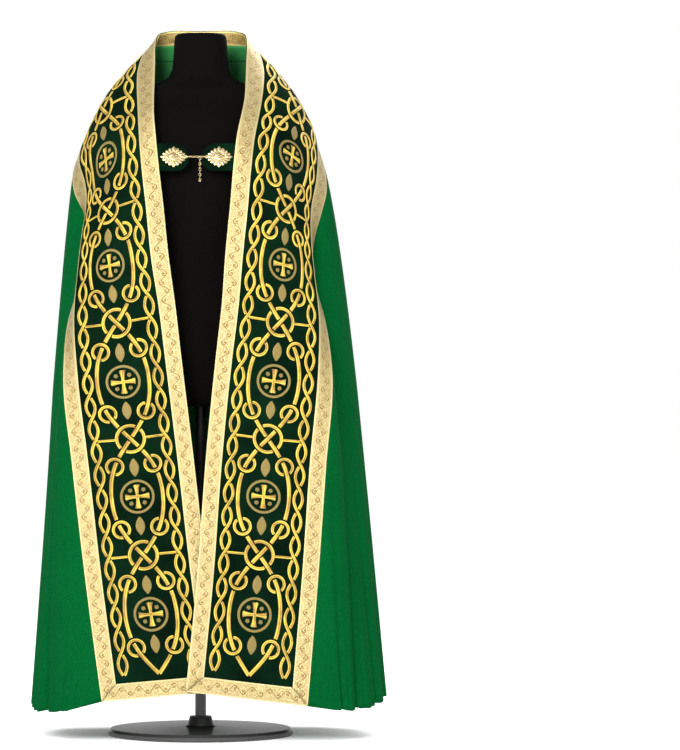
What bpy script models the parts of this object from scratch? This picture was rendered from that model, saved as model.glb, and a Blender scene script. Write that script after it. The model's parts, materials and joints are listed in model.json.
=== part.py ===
# A cope on a plain dress form: a green cloak with velvet orphreys, galloon, hood, fringe and clasp.
# Metres, +Z up, the front faces -Y, and the stand's round foot rests on z = 0.
# The garment is one draped sheet, worked out from short tables of sections. Each piece is cut from
# that sheet, and what is sewn on a panel is made from the same points, moved out along the sheet.

from collections import namedtuple
from math import cos, pi, radians, sin

import bmesh
import bpy
import numpy as np
from mathutils import Vector
from mathutils.bvhtree import BVHTree

# Heights in the tables are measured from the hem line, which hangs this far above the floor.
HEM_HEIGHT = 0.070

# The band that frames the opening: velvet, with galloon sewn along both edges and the hem.
BAND_LENGTH = 1.630         # from the centre of the back neck to the hem, on each side
BAND_WIDTH = 0.265
GALLOON_WIDTH = 0.036
OUTER_SEAM = BAND_WIDTH - GALLOON_WIDTH
BAND_MIDDLE = 0.115         # where the table of sections gives the middle of the velvet
SHOULDER = 0.410            # along the band: the cloak hangs from it above, runs beside it below

# Walls and gaps.
SEAM_GAP = 0.0003
CLOTH = 0.0020              # the green cloth and the velvet, each with its lining
TRIM = 0.0010               # galloon, facing and neck lining
HOOD_WALL = 0.0020
REST_GAP = 0.0005           # between the form's shoulders and the cloth that rests on them

# How finely the sheet is divided.
SHOULDER_STEPS = 18         # along the band, from the centre back to the shoulder point
CHEST_STEPS = 10            # from the shoulder point to the end of the band's chest stretch
CHEST_END = 0.710
FRONT_STEPS = 13            # from there to the hem
BAND_COLUMNS = (0.0, GALLOON_WIDTH, 0.100, 0.165, OUTER_SEAM, BAND_WIDTH)

# Sections across the band: how far along it they lie, and the places of its inner edge, the middle
# of its velvet, its outer seam and its outer edge. Round the neck both sides are alike.
Section = namedtuple("Section", "along inner middle seam outer")

NECK_SECTIONS = (
    Section(0.000, (0.000, 0.088, 1.502), (0.000, 0.150, 1.410), (0.000, 0.228, 1.328), (0.000, 0.245, 1.296)),
    Section(0.080, (0.080, 0.083, 1.500), (0.082, 0.146, 1.410), (0.080, 0.222, 1.325), (0.080, 0.239, 1.293)),
    Section(0.115, (0.0985, 0.060, 1.490), (0.122, 0.134, 1.412), (0.117, 0.205, 1.318), (0.113, 0.228, 1.290)),
    Section(0.144, (0.1015, 0.037, 1.470), (0.155, 0.109, 1.409), (0.150, 0.186, 1.314), (0.143, 0.211, 1.285)),
    Section(0.206, (0.1010, -0.003, 1.420), (0.196, 0.056, 1.378), (0.206, 0.146, 1.300), (0.200, 0.174, 1.273)),
    Section(0.262, (0.1005, -0.040, 1.376), (0.206, 0.008, 1.343), (0.248, 0.095, 1.280), (0.243, 0.123, 1.256)),
)
LEFT_SECTIONS = (
    Section(0.313, (0.1003, -0.073, 1.339), (0.204, -0.028, 1.298), (0.266, 0.050, 1.246), (0.271, 0.078, 1.226)),
    Section(0.360, (0.0990, -0.100, 1.304), (0.201, -0.060, 1.262), (0.270, 0.012, 1.205), (0.285, 0.038, 1.186)),
    Section(0.410, (0.0945, -0.122, 1.259), (0.196, -0.090, 1.212), (0.254, -0.022, 1.155), (0.282, -0.003, 1.142)),
    Section(0.480, (0.0870, -0.140, 1.188), (0.190, -0.134, 1.146), (0.250, -0.070, 1.100), (0.257, -0.036, 1.088)),
    Section(0.560, (0.0770, -0.148, 1.107), (0.185, -0.155, 1.077), (0.257, -0.094, 1.045), (0.246, -0.060, 1.035)),
    Section(0.670, (0.0655, -0.156, 0.997), (0.178, -0.158, 0.972), (0.266, -0.120, 0.955), (0.257, -0.086, 0.948)),
    Section(0.780, (0.0504, -0.164, 0.888), (0.164, -0.163, 0.866), (0.272, -0.144, 0.852), (0.287, -0.112, 0.848)),
    Section(0.900, (0.0360, -0.173, 0.768), (0.149, -0.175, 0.746), (0.264, -0.156, 0.737), (0.296, -0.139, 0.733)),
    Section(1.110, (0.0100, -0.190, 0.560), (0.123, -0.194, 0.545), (0.238, -0.188, 0.535), (0.274, -0.183, 0.532)),
    Section(1.370, (-0.0210, -0.209, 0.302), (0.0936, -0.2068, 0.2907), (0.2071, -0.2047, 0.2795), (0.243, -0.204, 0.276)),
    Section(1.630, (-0.0570, -0.231, 0.044), (0.0576, -0.2293, 0.0340), (0.1711, -0.2275, 0.0241), (0.207, -0.227, 0.021)),
)
RIGHT_SECTIONS = (
    Section(0.313, (0.0990, -0.073, 1.339), (0.201, -0.029, 1.298), (0.258, 0.051, 1.246), (0.264, 0.078, 1.227)),
    Section(0.360, (0.0930, -0.100, 1.304), (0.197, -0.060, 1.262), (0.260, 0.013, 1.206), (0.276, 0.037, 1.187)),
    Section(0.410, (0.0840, -0.122, 1.259), (0.192, -0.078, 1.222), (0.256, -0.018, 1.160), (0.280, 0.002, 1.142)),
    Section(0.480, (0.0765, -0.140, 1.188), (0.185, -0.122, 1.155), (0.246, -0.057, 1.104), (0.269, -0.032, 1.090)),
    Section(0.560, (0.0700, -0.149, 1.107), (0.180, -0.152, 1.080), (0.245, -0.091, 1.045), (0.254, -0.058, 1.032)),
    Section(0.670, (0.0595, -0.158, 0.997), (0.172, -0.160, 0.974), (0.253, -0.119, 0.957), (0.250, -0.084, 0.950)),
    Section(0.780, (0.0520, -0.167, 0.888), (0.165, -0.168, 0.868), (0.264, -0.143, 0.855), (0.277, -0.111, 0.850)),
    Section(0.900, (0.0390, -0.179, 0.768), (0.152, -0.182, 0.748), (0.262, -0.166, 0.738), (0.293, -0.149, 0.734)),
    Section(1.110, (0.0190, -0.200, 0.560), (0.132, -0.204, 0.545), (0.244, -0.199, 0.535), (0.280, -0.193, 0.532)),
    Section(1.370, (0.0005, -0.221, 0.302), (0.1140, -0.2175, 0.2911), (0.2265, -0.2141, 0.2804), (0.262, -0.213, 0.277)),
    Section(1.630, (-0.0240, -0.244, 0.044), (0.0906, -0.2410, 0.0301), (0.2041, -0.2380, 0.0163), (0.240, -0.237, 0.012)),
)

# Where the columns of the green cloth end: each falls from its signed place along the band to the
# hem, and bulges out on its way. The last one on each side runs along the hem from the corner.
Fall = namedtuple("Fall", "along x y z bulge")
FALLS = (
    Fall(-1.630, -0.285, -0.200, -0.001, 0.000),
    Fall(-1.200, -0.303, -0.188, -0.004, 0.003),
    Fall(-0.900, -0.326, -0.164, -0.006, 0.006),
    Fall(-0.700, -0.347, -0.130, -0.004, 0.016),
    Fall(-0.540, -0.364, -0.088, 0.002, 0.020),
    Fall(-0.410, -0.376, -0.035, 0.007, 0.008),
    Fall(-0.320, -0.374, 0.050, 0.012, 0.006),
    Fall(-0.240, -0.335, 0.142, 0.016, 0.008),
    Fall(-0.160, -0.255, 0.225, 0.020, 0.010),
    Fall(-0.080, -0.135, 0.282, 0.024, 0.010),
    Fall(0.000, 0.000, 0.300, 0.026, 0.010),
    Fall(0.080, 0.135, 0.283, 0.025, 0.010),
    Fall(0.160, 0.262, 0.230, 0.025, 0.010),
    Fall(0.240, 0.356, 0.148, 0.026, 0.012),
    Fall(0.320, 0.406, 0.052, 0.026, 0.015),
    Fall(0.410, 0.414, -0.035, 0.022, 0.015),
    Fall(0.540, 0.393, -0.092, 0.012, 0.022),
    Fall(0.700, 0.366, -0.143, 0.002, 0.014),
    Fall(0.900, 0.338, -0.177, -0.001, 0.006),
    Fall(1.200, 0.316, -0.198, 0.000, 0.003),
    Fall(1.630, 0.298, -0.211, 0.002, 0.000),
)

# Long soft folds of the green cloth: the column they follow to the hem, half their width there (as
# places along the band), how far they stand out (or in, below zero), where down the cloak they
# start, and how far they lean on the way up.
Fold = namedtuple("Fold", "along width depth start lean")
FOLDS = (
    Fold(-0.62, 0.16, 0.010, 0.35, 0.02),
    Fold(-0.38, 0.08, -0.020, 0.40, 0.02),
    Fold(-0.235, 0.10, 0.034, 0.42, 0.00),
    Fold(-0.105, 0.07, -0.030, 0.46, -0.01),
    Fold(-0.010, 0.07, 0.024, 0.46, 0.01),
    Fold(0.085, 0.07, -0.026, 0.46, 0.01),
    Fold(0.200, 0.10, 0.028, 0.42, 0.00),
    Fold(0.345, 0.08, -0.018, 0.40, -0.01),
    Fold(0.56, 0.15, 0.010, 0.35, -0.02),
)
FOLD_LIFT = 0.35            # how much a fold that stands out also dips the hem
FOLD_AXIS = Vector((0.0, 0.03, 0.0))

# The hood, flat: half its width, its drop, its round lower corners and what edges it.
HOOD_HALF_WIDTH = 0.283
HOOD_DROP = 0.480
HOOD_CORNER = 0.160
HOOD_GALLOON = 0.018
HOOD_LIFT_TOP = 0.0019      # the hood lies this far off the cloth at its top
HOOD_LIFT_END = 0.0060      # and this far at its foot
FRINGE_GAP = 0.0007
FRINGE_STRIP = 0.004
FRINGE_LENGTH = 0.068
FRINGE_LOCKS = 128
LOCK_SHARE = 0.52           # how much of its pitch a lock of fringe takes
FRINGE_SPREAD = 0.50        # how far the locks at the sides lean outwards
FRINGE_LIFT = 0.0015

# The neck's inner side.
FACING_REACH = 0.150        # along the band, each way from the centre back
LINING_DEPTH = 0.165

# The clasp.
CLASP_HEIGHT = 1.2085
TAB_HALF_HEIGHT = 0.031
TAB_TUCK = 0.012            # how far a tab reaches behind the band's edge
LEFT_TAB_END = -0.021
RIGHT_TAB_END = 0.0063
ROSETTE_WIDTH = 0.059
ROSETTE_HEIGHT = 0.047
LEFT_ROSETTE = -0.0546
RIGHT_ROSETTE = 0.0448
CHAIN_LENGTH = 0.054
CHAIN_PLACE = 0.003

# The dress form: the height and half width of each ring, and how deep it is in front and behind.
Ring = namedtuple("Ring", "height half_width front back")
FORM_RINGS = (
    Ring(0.660, 0.150, 0.098, 0.118),
    Ring(0.672, 0.168, 0.110, 0.130),
    Ring(0.760, 0.178, 0.114, 0.140),
    Ring(0.860, 0.166, 0.104, 0.124),
    Ring(0.960, 0.146, 0.092, 0.106),
    Ring(1.060, 0.154, 0.100, 0.110),
    Ring(1.160, 0.170, 0.112, 0.120),
    Ring(1.230, 0.184, 0.100, 0.122),
    Ring(1.280, 0.204, 0.080, 0.112),
    Ring(1.312, 0.232, 0.060, 0.100),
    Ring(1.335, 0.220, 0.044, 0.086),
    Ring(1.354, 0.180, 0.036, 0.076),
    Ring(1.370, 0.122, 0.040, 0.068),
    Ring(1.384, 0.078, 0.050, 0.062),
    Ring(1.402, 0.0620, 0.055, 0.058),
    Ring(1.476, 0.0590, 0.057, 0.057),
    Ring(1.484, 0.0565, 0.0545, 0.0545),
    Ring(1.488, 0.0500, 0.048, 0.048),
)
FORM_SEGMENTS = 32
POLE_RADIUS = 0.0125
BASE_RADIUS = 0.205
BASE_THICKNESS = 0.016
HUB_RADIUS = 0.030
HUB_TOP = 0.042


class TableCurve:
    """One smooth curve through the rows of a table: the first value of a row is its place."""

    def __init__(self, rows):
        table = np.array(rows, dtype=float)
        self.places = table[:, 0]
        self.values = table[:, 1:]
        steps = np.diff(self.places)[:, None]
        slopes = np.diff(self.values, axis=0) / steps
        inside = (slopes[:-1] * steps[1:] + slopes[1:] * steps[:-1]) / (steps[1:] + steps[:-1])
        self.tangents = np.vstack([slopes[:1], inside, slopes[-1:]])

    def at(self, place):
        """The smooth value at a place between the first row and the last."""
        place = min(max(place, self.places[0]), self.places[-1])
        row = min(int(np.searchsorted(self.places, place, side="right")) - 1, len(self.places) - 2)
        step = self.places[row + 1] - self.places[row]
        t = (place - self.places[row]) / step
        value = (2 * t**3 - 3 * t**2 + 1) * self.values[row]
        value = value + (t**3 - 2 * t**2 + t) * step * self.tangents[row]
        value = value + (3 * t**2 - 2 * t**3) * self.values[row + 1]
        value = value + (t**3 - t**2) * step * self.tangents[row + 1]
        return Vector(value)


def signed_rows(column):
    """One column of the sections as rows (signed place along the band, x, y, z), left to right."""
    rows = []
    for section in reversed(NECK_SECTIONS[1:] + LEFT_SECTIONS):
        x, y, z = getattr(section, column)
        rows.append((-section.along, -x, y, z))
    for section in NECK_SECTIONS + RIGHT_SECTIONS:
        x, y, z = getattr(section, column)
        rows.append((section.along, x, y, z))
    return rows


INNER_EDGE = TableCurve(signed_rows("inner"))
VELVET_MIDDLE = TableCurve(signed_rows("middle"))
SEAM_LINE = TableCurve(signed_rows("seam"))
OUTER_EDGE = TableCurve(signed_rows("outer"))
FALL_LINE = TableCurve([row[:4] for row in FALLS])
FALL_BULGE = TableCurve([(row.along, row.bulge, 0.0, 0.0) for row in FALLS])


def band_point(along, across):
    """A point of the band: along is signed (left below zero), across runs out from the opening."""
    seam = SEAM_LINE.at(along)
    if across > OUTER_SEAM:
        return seam.lerp(OUTER_EDGE.at(along), (across - OUTER_SEAM) / GALLOON_WIDTH)
    inner = INNER_EDGE.at(along)
    middle = VELVET_MIDDLE.at(along)
    to_middle = across / BAND_MIDDLE
    to_seam = across / OUTER_SEAM
    ratio = OUTER_SEAM / BAND_MIDDLE
    inner_part = (1 - to_middle) * (1 - to_seam)
    middle_part = to_middle * (1 - to_seam) / (1 - 1 / ratio)
    seam_part = to_seam * (to_middle - 1) / (ratio - 1)
    return inner * inner_part + middle * middle_part + seam * seam_part


def away_from_axis(point):
    out = point - FOLD_AXIS
    out.z = 0.0
    return out.normalized()


def smooth_cloak(along, drop):
    """The green cloth without its folds: columns that fall from the band (drop 0) to the hem (1)."""
    point = OUTER_EDGE.at(along).lerp(FALL_LINE.at(along), drop)
    bulge = FALL_BULGE.at(along).x * sin(pi * drop**0.6)
    return point + away_from_axis(point) * bulge


def fold_height(along, drop):
    """How far the folds push the green cloth out at a point."""
    height = 0.0
    for fold in FOLDS:
        if drop <= fold.start:
            continue
        grown = (drop - fold.start) / (1 - fold.start)
        off = abs(along - fold.along - fold.lean * (1 - drop)) / fold.width
        if off < 1:
            height += fold.depth * grown**1.2 * cos(off * pi / 2) ** 2
    return height


def cloak_point(along, drop):
    """A point of the green cloth, by the place along the band that its column falls from."""
    point = smooth_cloak(along, drop)
    height = fold_height(along, drop)
    return point + away_from_axis(point) * height - Vector((0, 0, FOLD_LIFT * height * drop))


def slope_normal(surface, first, second, step, limits):
    """The outward normal of a surface from its slopes, one-sided at its limits."""
    (low_first, high_first), (low_second, high_second) = limits
    along = surface(min(first + step, high_first), second) - surface(max(first - step, low_first), second)
    across = surface(first, min(second + step, high_second)) - surface(first, max(second - step, low_second))
    return along.cross(across).normalized()


def band_slope(along, across):
    limits = ((-BAND_LENGTH, BAND_LENGTH), (0.0, BAND_WIDTH))
    return slope_normal(band_point, along, across, 0.003, limits)


def cloak_slope(along, drop):
    limits = ((-BAND_LENGTH, BAND_LENGTH), (0.0, 1.0))
    return slope_normal(cloak_point, along, drop, 0.004, limits)


def band_normal(along, across):
    """The band's outward normal; on its outer edge it is shared with the green cloth."""
    normal = band_slope(along, across)
    if across < BAND_WIDTH:
        return normal
    return (normal + cloak_slope(along, 0.0)).normalized()


def cloak_normal(along, drop):
    return cloak_slope(along, drop) if drop > 0.0 else band_normal(along, BAND_WIDTH)


def make_material(name, color, roughness, metallic=0.0):
    material = bpy.data.materials.new(name)
    material.use_nodes = True
    shader = material.node_tree.nodes["Principled BSDF"]
    shader.inputs["Base Color"].default_value = (*color, 1.0)
    shader.inputs["Roughness"].default_value = roughness
    shader.inputs["Metallic"].default_value = metallic
    return material


def finish_object(name, mesh_data, material):
    """Turns a bmesh into a named object whose faces point out."""
    bmesh.ops.recalc_face_normals(mesh_data, faces=mesh_data.faces)
    mesh = bpy.data.meshes.new(name)
    mesh_data.to_mesh(mesh)
    mesh_data.free()
    mesh.materials.append(material)
    model = bpy.data.objects.new(name, mesh)
    bpy.context.scene.collection.objects.link(model)
    return model


def raise_to_floor(point):
    return point + Vector((0.0, 0.0, HEM_HEIGHT))


def cloth_panel(name, columns, rows, place, lift, thickness, material, two_sided=False):
    """A wall of cloth: a grid laid on the sheet by place(column, row), then given its thickness.

    lift is how far the wall's inner side stands off the sheet. On a two-sided panel the quads of
    the left half are cut along their other diagonal, so that both halves mirror each other.
    """
    mesh_data = bmesh.new()
    across, down = len(columns) - 1, len(rows) - 1
    bmesh.ops.create_grid(mesh_data, x_segments=across, y_segments=down, size=0.5)
    spots = {}
    for vertex in mesh_data.verts:
        column = columns[round((vertex.co.x + 0.5) * across)]
        row = rows[round((vertex.co.y + 0.5) * down)]
        spots[vertex] = (column, row)
    if two_sided:
        left_half = [face for face in mesh_data.faces if face.calc_center_median().x < 0]
        bmesh.ops.triangulate(mesh_data, faces=left_half, quad_method="ALTERNATE")
    bmesh.ops.triangulate(mesh_data, faces=mesh_data.faces[:], quad_method="FIXED")
    normals = {}
    for vertex, (column, row) in spots.items():
        point, normal = place(column, row)
        vertex.co = raise_to_floor(point) + normal * lift
        normals[vertex] = normal
    give_thickness(mesh_data, normals, thickness)
    return finish_object(name, mesh_data, material)


def give_thickness(mesh_data, normals, thickness):
    """Extrudes an open sheet along the given normals into a closed wall."""
    outward = {}
    for vertex in list(mesh_data.verts):
        outward[tuple(vertex.co)] = normals[vertex]
    extruded = bmesh.ops.extrude_face_region(mesh_data, geom=list(mesh_data.faces), use_keep_orig=True)
    for item in extruded["geom"]:
        if isinstance(item, bmesh.types.BMVert):
            item.co = item.co + outward[tuple(item.co)] * thickness


def signed_stations():
    """Places along the band, from the centre back (0) to the hem, close enough for its curves."""
    stretches = ((0.0, SHOULDER, SHOULDER_STEPS), (SHOULDER, CHEST_END, CHEST_STEPS),
                 (CHEST_END, BAND_LENGTH, FRONT_STEPS))
    stations = []
    for start, end, steps in stretches:
        stations += [start + (end - start) * step / steps for step in range(steps)]
    return stations + [BAND_LENGTH - GALLOON_WIDTH, BAND_LENGTH]


STATIONS = signed_stations()


def on_band(along, across):
    return band_point(along, across), band_normal(along, across)


def build_orphreys(velvet, galloon):
    """The two halves of the velvet band, and the galloon along their edges and hems."""
    for side, side_name in ((-1, "left"), (1, "right")):
        def place(along, across):
            return on_band(side * max(along, SEAM_GAP / 2), across)

        def inner_strip(along, across):
            return place(min(along, BAND_LENGTH - across - SEAM_GAP), across)

        def outer_strip(along, across):
            return place(min(along, BAND_LENGTH - (BAND_WIDTH - across) - SEAM_GAP), across)

        def hem_strip(across, up):
            inside = min(max(across, up + SEAM_GAP), BAND_WIDTH - up - SEAM_GAP)
            return place(BAND_LENGTH - up, inside)

        strip_stations = STATIONS[:-2] + STATIONS[-1:]
        hem_columns = (0.0, BAND_COLUMNS[2], BAND_COLUMNS[3], BAND_WIDTH)
        cloth_panel("orphrey_" + side_name, STATIONS, BAND_COLUMNS, place, -CLOTH, CLOTH, velvet)
        cloth_panel("inner_galloon_" + side_name, strip_stations, (0.0, GALLOON_WIDTH), inner_strip,
                    SEAM_GAP, TRIM, galloon)
        cloth_panel("outer_galloon_" + side_name, strip_stations, (OUTER_SEAM, BAND_WIDTH), outer_strip,
                    SEAM_GAP, TRIM, galloon)
        cloth_panel("hem_galloon_" + side_name, hem_columns, (0.0, GALLOON_WIDTH), hem_strip,
                    SEAM_GAP, TRIM, galloon)


def build_neck(galloon, green):
    """The galloon down the centre back, and the facing and lining inside the neck."""
    half = GALLOON_WIDTH / 2
    strip_rows = (GALLOON_WIDTH + SEAM_GAP, BAND_COLUMNS[2], BAND_COLUMNS[3], OUTER_SEAM - SEAM_GAP)
    cloth_panel("back_galloon", (-half, 0.0, half), strip_rows, on_band, SEAM_GAP, TRIM, galloon)
    near = [along for along in STATIONS if along <= FACING_REACH]
    around = [-along for along in reversed(near[1:])] + near
    inside = -(CLOTH + SEAM_GAP + TRIM)
    cloth_panel("collar_facing", around, (0.0, GALLOON_WIDTH), on_band, inside, TRIM, galloon,
                two_sided=True)
    lining_rows = (GALLOON_WIDTH + SEAM_GAP, BAND_COLUMNS[2], LINING_DEPTH)
    cloth_panel("neck_lining", around, lining_rows, on_band, inside, TRIM, green, two_sided=True)


EDGE_STEP = 0.002
CLOAK_DROPS = (0.0, 0.025, 0.06, 0.12, 0.20, 0.29, 0.38, 0.47, 0.56, 0.65, 0.74, 0.83, 0.92, 1.0)


def build_cloak(green):
    """The green cloth, in one wall from one side of the opening round the back to the other."""
    around = [-along for along in reversed(STATIONS[1:])] + STATIONS

    def place(along, drop):
        point = cloak_point(along, drop)
        normal = cloak_normal(along, drop)
        if drop == 0.0:
            edge = OUTER_EDGE.at(along + EDGE_STEP) - OUTER_EDGE.at(along - EDGE_STEP)
            point = point + normal.cross(edge).normalized() * SEAM_GAP
        return point, normal

    cloth_panel("cope_body", around, CLOAK_DROPS, place, -CLOTH, CLOTH, green, two_sided=True)


BACK_LENGTH = 1.275         # the centre back from the band to the hem, along the cloth


def rows_of_cloak():
    """A finder of the column at a distance round the smooth cloak from its centre back."""
    known = {}
    columns = np.linspace(0.0, 0.60, 41)

    def column_at(distance, drop):
        side = -1 if distance < 0 else 1
        key = (round(drop, 5), side)
        if key not in known:
            points = [smooth_cloak(side * column, drop) for column in columns]
            steps = [(after - before).length for before, after in zip(points, points[1:])]
            known[key] = np.concatenate([[0.0], np.cumsum(steps)])
        return side * float(np.interp(abs(distance), known[key], columns))

    return column_at


COLUMN_AT = rows_of_cloak()


def on_hood(aside, down):
    """A point over the back of the cloak, by distance round from its centre and down from the band."""
    drop = max(down, SEAM_GAP) / BACK_LENGTH
    column = COLUMN_AT(aside, drop)
    point = smooth_cloak(column, drop)
    normal = slope_normal(smooth_cloak, column, drop, 0.004, ((-BAND_LENGTH, BAND_LENGTH), (0.0, 1.0)))
    lift = HOOD_LIFT_TOP + (HOOD_LIFT_END - HOOD_LIFT_TOP) * min(down / HOOD_DROP, 1.0)
    return point + normal * lift, normal


HOOD_SIDE = HOOD_DROP - HOOD_CORNER
HOOD_ARC = HOOD_CORNER * pi / 2
HOOD_FOOT = 2 * (HOOD_HALF_WIDTH - HOOD_CORNER)
HOOD_EDGE = 2 * HOOD_SIDE + 2 * HOOD_ARC + HOOD_FOOT


def hood_edge(distance, off):
    """A flat point off the hood's edge, by distance from its upper left end round to the right."""
    if distance > HOOD_EDGE / 2:
        aside, down = hood_edge(HOOD_EDGE - distance, off)
        return -aside, down
    turn = min(max((distance - HOOD_SIDE) / HOOD_CORNER, 0.0), pi / 2)
    along_side = min(distance, HOOD_SIDE)
    along_foot = max(distance - HOOD_SIDE - HOOD_ARC, 0.0)
    aside = -(HOOD_HALF_WIDTH - HOOD_CORNER) - (HOOD_CORNER + off) * cos(turn) + along_foot
    down = along_side + (HOOD_CORNER + off) * sin(turn)
    return aside, down


HOOD_SIDE_STEPS = 8
HOOD_ARC_STEPS = 8
HOOD_FOOT_STEPS = 16


def hood_edge_stations():
    side = [HOOD_SIDE * step / HOOD_SIDE_STEPS for step in range(HOOD_SIDE_STEPS)]
    arc = [HOOD_SIDE + HOOD_ARC * step / HOOD_ARC_STEPS for step in range(HOOD_ARC_STEPS)]
    foot_start = HOOD_SIDE + HOOD_ARC
    foot = [foot_start + HOOD_FOOT * step / HOOD_FOOT_STEPS for step in range(HOOD_FOOT_STEPS + 1)]
    return side + arc + foot + [HOOD_EDGE - place for place in reversed(side + arc)]


def build_hood(velvet, galloon, fringe):
    """The shield-shaped hood that hangs from the band at the back, its binding and its fringe."""
    half_edge = [place for place in hood_edge_stations() if place <= HOOD_SIDE + HOOD_ARC + 1e-6]

    def on_panel(across, place):
        aside, down = hood_edge(place, 0.0)
        return on_hood(-aside * across, down)

    across_steps = [step / HOOD_FOOT_STEPS * 2 - 1 for step in range(HOOD_FOOT_STEPS + 1)]
    cloth_panel("hood", across_steps, half_edge, on_panel, 0.0, HOOD_WALL, velvet)

    def on_binding(place, off):
        return on_hood(*hood_edge(place, off))

    def beside_binding(place, off):
        """A point beside the binding, on the straight run between two of its stations."""
        after = next(station for station in stations if station >= place - 1e-9)
        before = max(station for station in stations if station <= after - 1e-9 or station == 0.0)
        share = (place - before) / max(after - before, 1e-9)
        start, start_normal = on_binding(before, off)
        end, end_normal = on_binding(after, off)
        return start.lerp(end, share), start_normal.lerp(end_normal, share).normalized()

    binding = (SEAM_GAP, HOOD_GALLOON)
    stations = hood_edge_stations()
    cloth_panel("hood_galloon", stations, binding, on_binding, 0.0, HOOD_WALL, galloon)
    build_fringe(beside_binding, fringe)


def build_fringe(beside_binding, material):
    """Locks of fringe that grow out of a narrow strip round the hood, all in one solid."""
    pitch = HOOD_EDGE / FRINGE_LOCKS
    columns = [0.0]
    for lock in range(FRINGE_LOCKS):
        start = pitch * (lock + (1 - LOCK_SHARE) / 2)
        columns += [start, start + pitch * LOCK_SHARE]
    columns.append(HOOD_EDGE)
    strip_inner = HOOD_GALLOON + FRINGE_GAP
    strip_outer = strip_inner + FRINGE_STRIP
    mesh_data = bmesh.new()
    bmesh.ops.create_grid(mesh_data, x_segments=len(columns) - 1, y_segments=1, size=0.5)
    bmesh.ops.triangulate(mesh_data, faces=mesh_data.faces[:], quad_method="FIXED")
    normals = {}
    for vertex in mesh_data.verts:
        column = columns[round((vertex.co.x + 0.5) * (len(columns) - 1))]
        off = strip_outer if vertex.co.y > 0 else strip_inner
        point, normal = beside_binding(column, off)
        vertex.co = raise_to_floor(point)
        normals[vertex] = normal
    give_thickness(mesh_data, normals, FRINGE_LIFT)
    grow_locks(mesh_data, columns, strip_outer, beside_binding)
    return finish_object("hood_fringe", mesh_data, material)


def grow_locks(mesh_data, columns, strip_outer, beside_binding):
    """Draws every second cell of the strip's outer side out into a hanging lock."""
    corner_of = {}
    for index, column in enumerate(columns):
        point, normal = beside_binding(column, strip_outer)
        for layer in (0.0, FRINGE_LIFT):
            corner_of[tuple(raise_to_floor(point) + normal * layer)] = (index, layer)
    tree_keys = list(corner_of)
    lookup = {tuple(round(value, 6) for value in key): corner_of[key] for key in tree_keys}
    cells = {}
    for face in mesh_data.faces:
        corners = [lookup.get(tuple(round(value, 6) for value in vertex.co)) for vertex in face.verts]
        if None in corners or len(face.verts) != 4:
            continue
        first = min(corner[0] for corner in corners)
        if first % 2 == 1 and first < len(columns) - 1:
            cells[face] = first
    for face, first in cells.items():
        middle = (columns[first] + columns[first + 1]) / 2
        grown = bmesh.ops.extrude_discrete_faces(mesh_data, faces=[face])["faces"][0]
        for vertex in grown.verts:
            index, layer = lookup[tuple(round(value, 6) for value in vertex.co)]
            place = middle + (columns[index] - middle) * 0.55
            point, normal = lock_end(place, strip_outer)
            vertex.co = raise_to_floor(point) + normal * (layer + FRINGE_LIFT * 0.3)


def lock_end(place, strip_outer):
    """Where a lock that starts at this place on the strip ends: below it, and leaning outwards."""
    aside, down = hood_edge(place, strip_outer)
    inner_aside, inner_down = hood_edge(place, 0.0)
    lean = Vector((aside - inner_aside, down - inner_down)).normalized() * FRINGE_SPREAD
    reach = (lean + Vector((0.0, 1.0))).normalized() * FRINGE_LENGTH
    return on_hood(aside + reach.x, down + reach.y)


def edge_at_height(side, height):
    """The signed place along the band where its inner edge is at a height."""
    low, high = SHOULDER / 2, BAND_LENGTH
    for _ in range(40):
        middle = (low + high) / 2
        if INNER_EDGE.at(side * middle).z > height:
            low = middle
        else:
            high = middle
    return side * low


def on_tab(side, reach, height):
    """A point of a clasp tab's plane: behind the band for a reach below zero, then straight across."""
    along = edge_at_height(side, height)
    edge, edge_normal = on_band(along, 0.0)
    if reach <= 0:
        inside, inside_normal = on_band(along, GALLOON_WIDTH)
        share = -reach / GALLOON_WIDTH
        return edge.lerp(inside, share), edge_normal.lerp(inside_normal, share).normalized()
    above = INNER_EDGE.at(edge_at_height(side, height + 0.01))
    rise = above - edge
    rise.x = 0.0
    normal = Vector((1.0, 0.0, 0.0)).cross(rise).normalized()
    if normal.y > 0:
        normal.negate()
    return edge - Vector((side * reach, 0.0, 0.0)), normal


TAB_WALL = 0.0025
TAB_CLEARANCE = 0.0007      # the band curves a little between its facets
TAB_LIFT = -(CLOTH + TAB_CLEARANCE + TAB_WALL)


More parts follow.
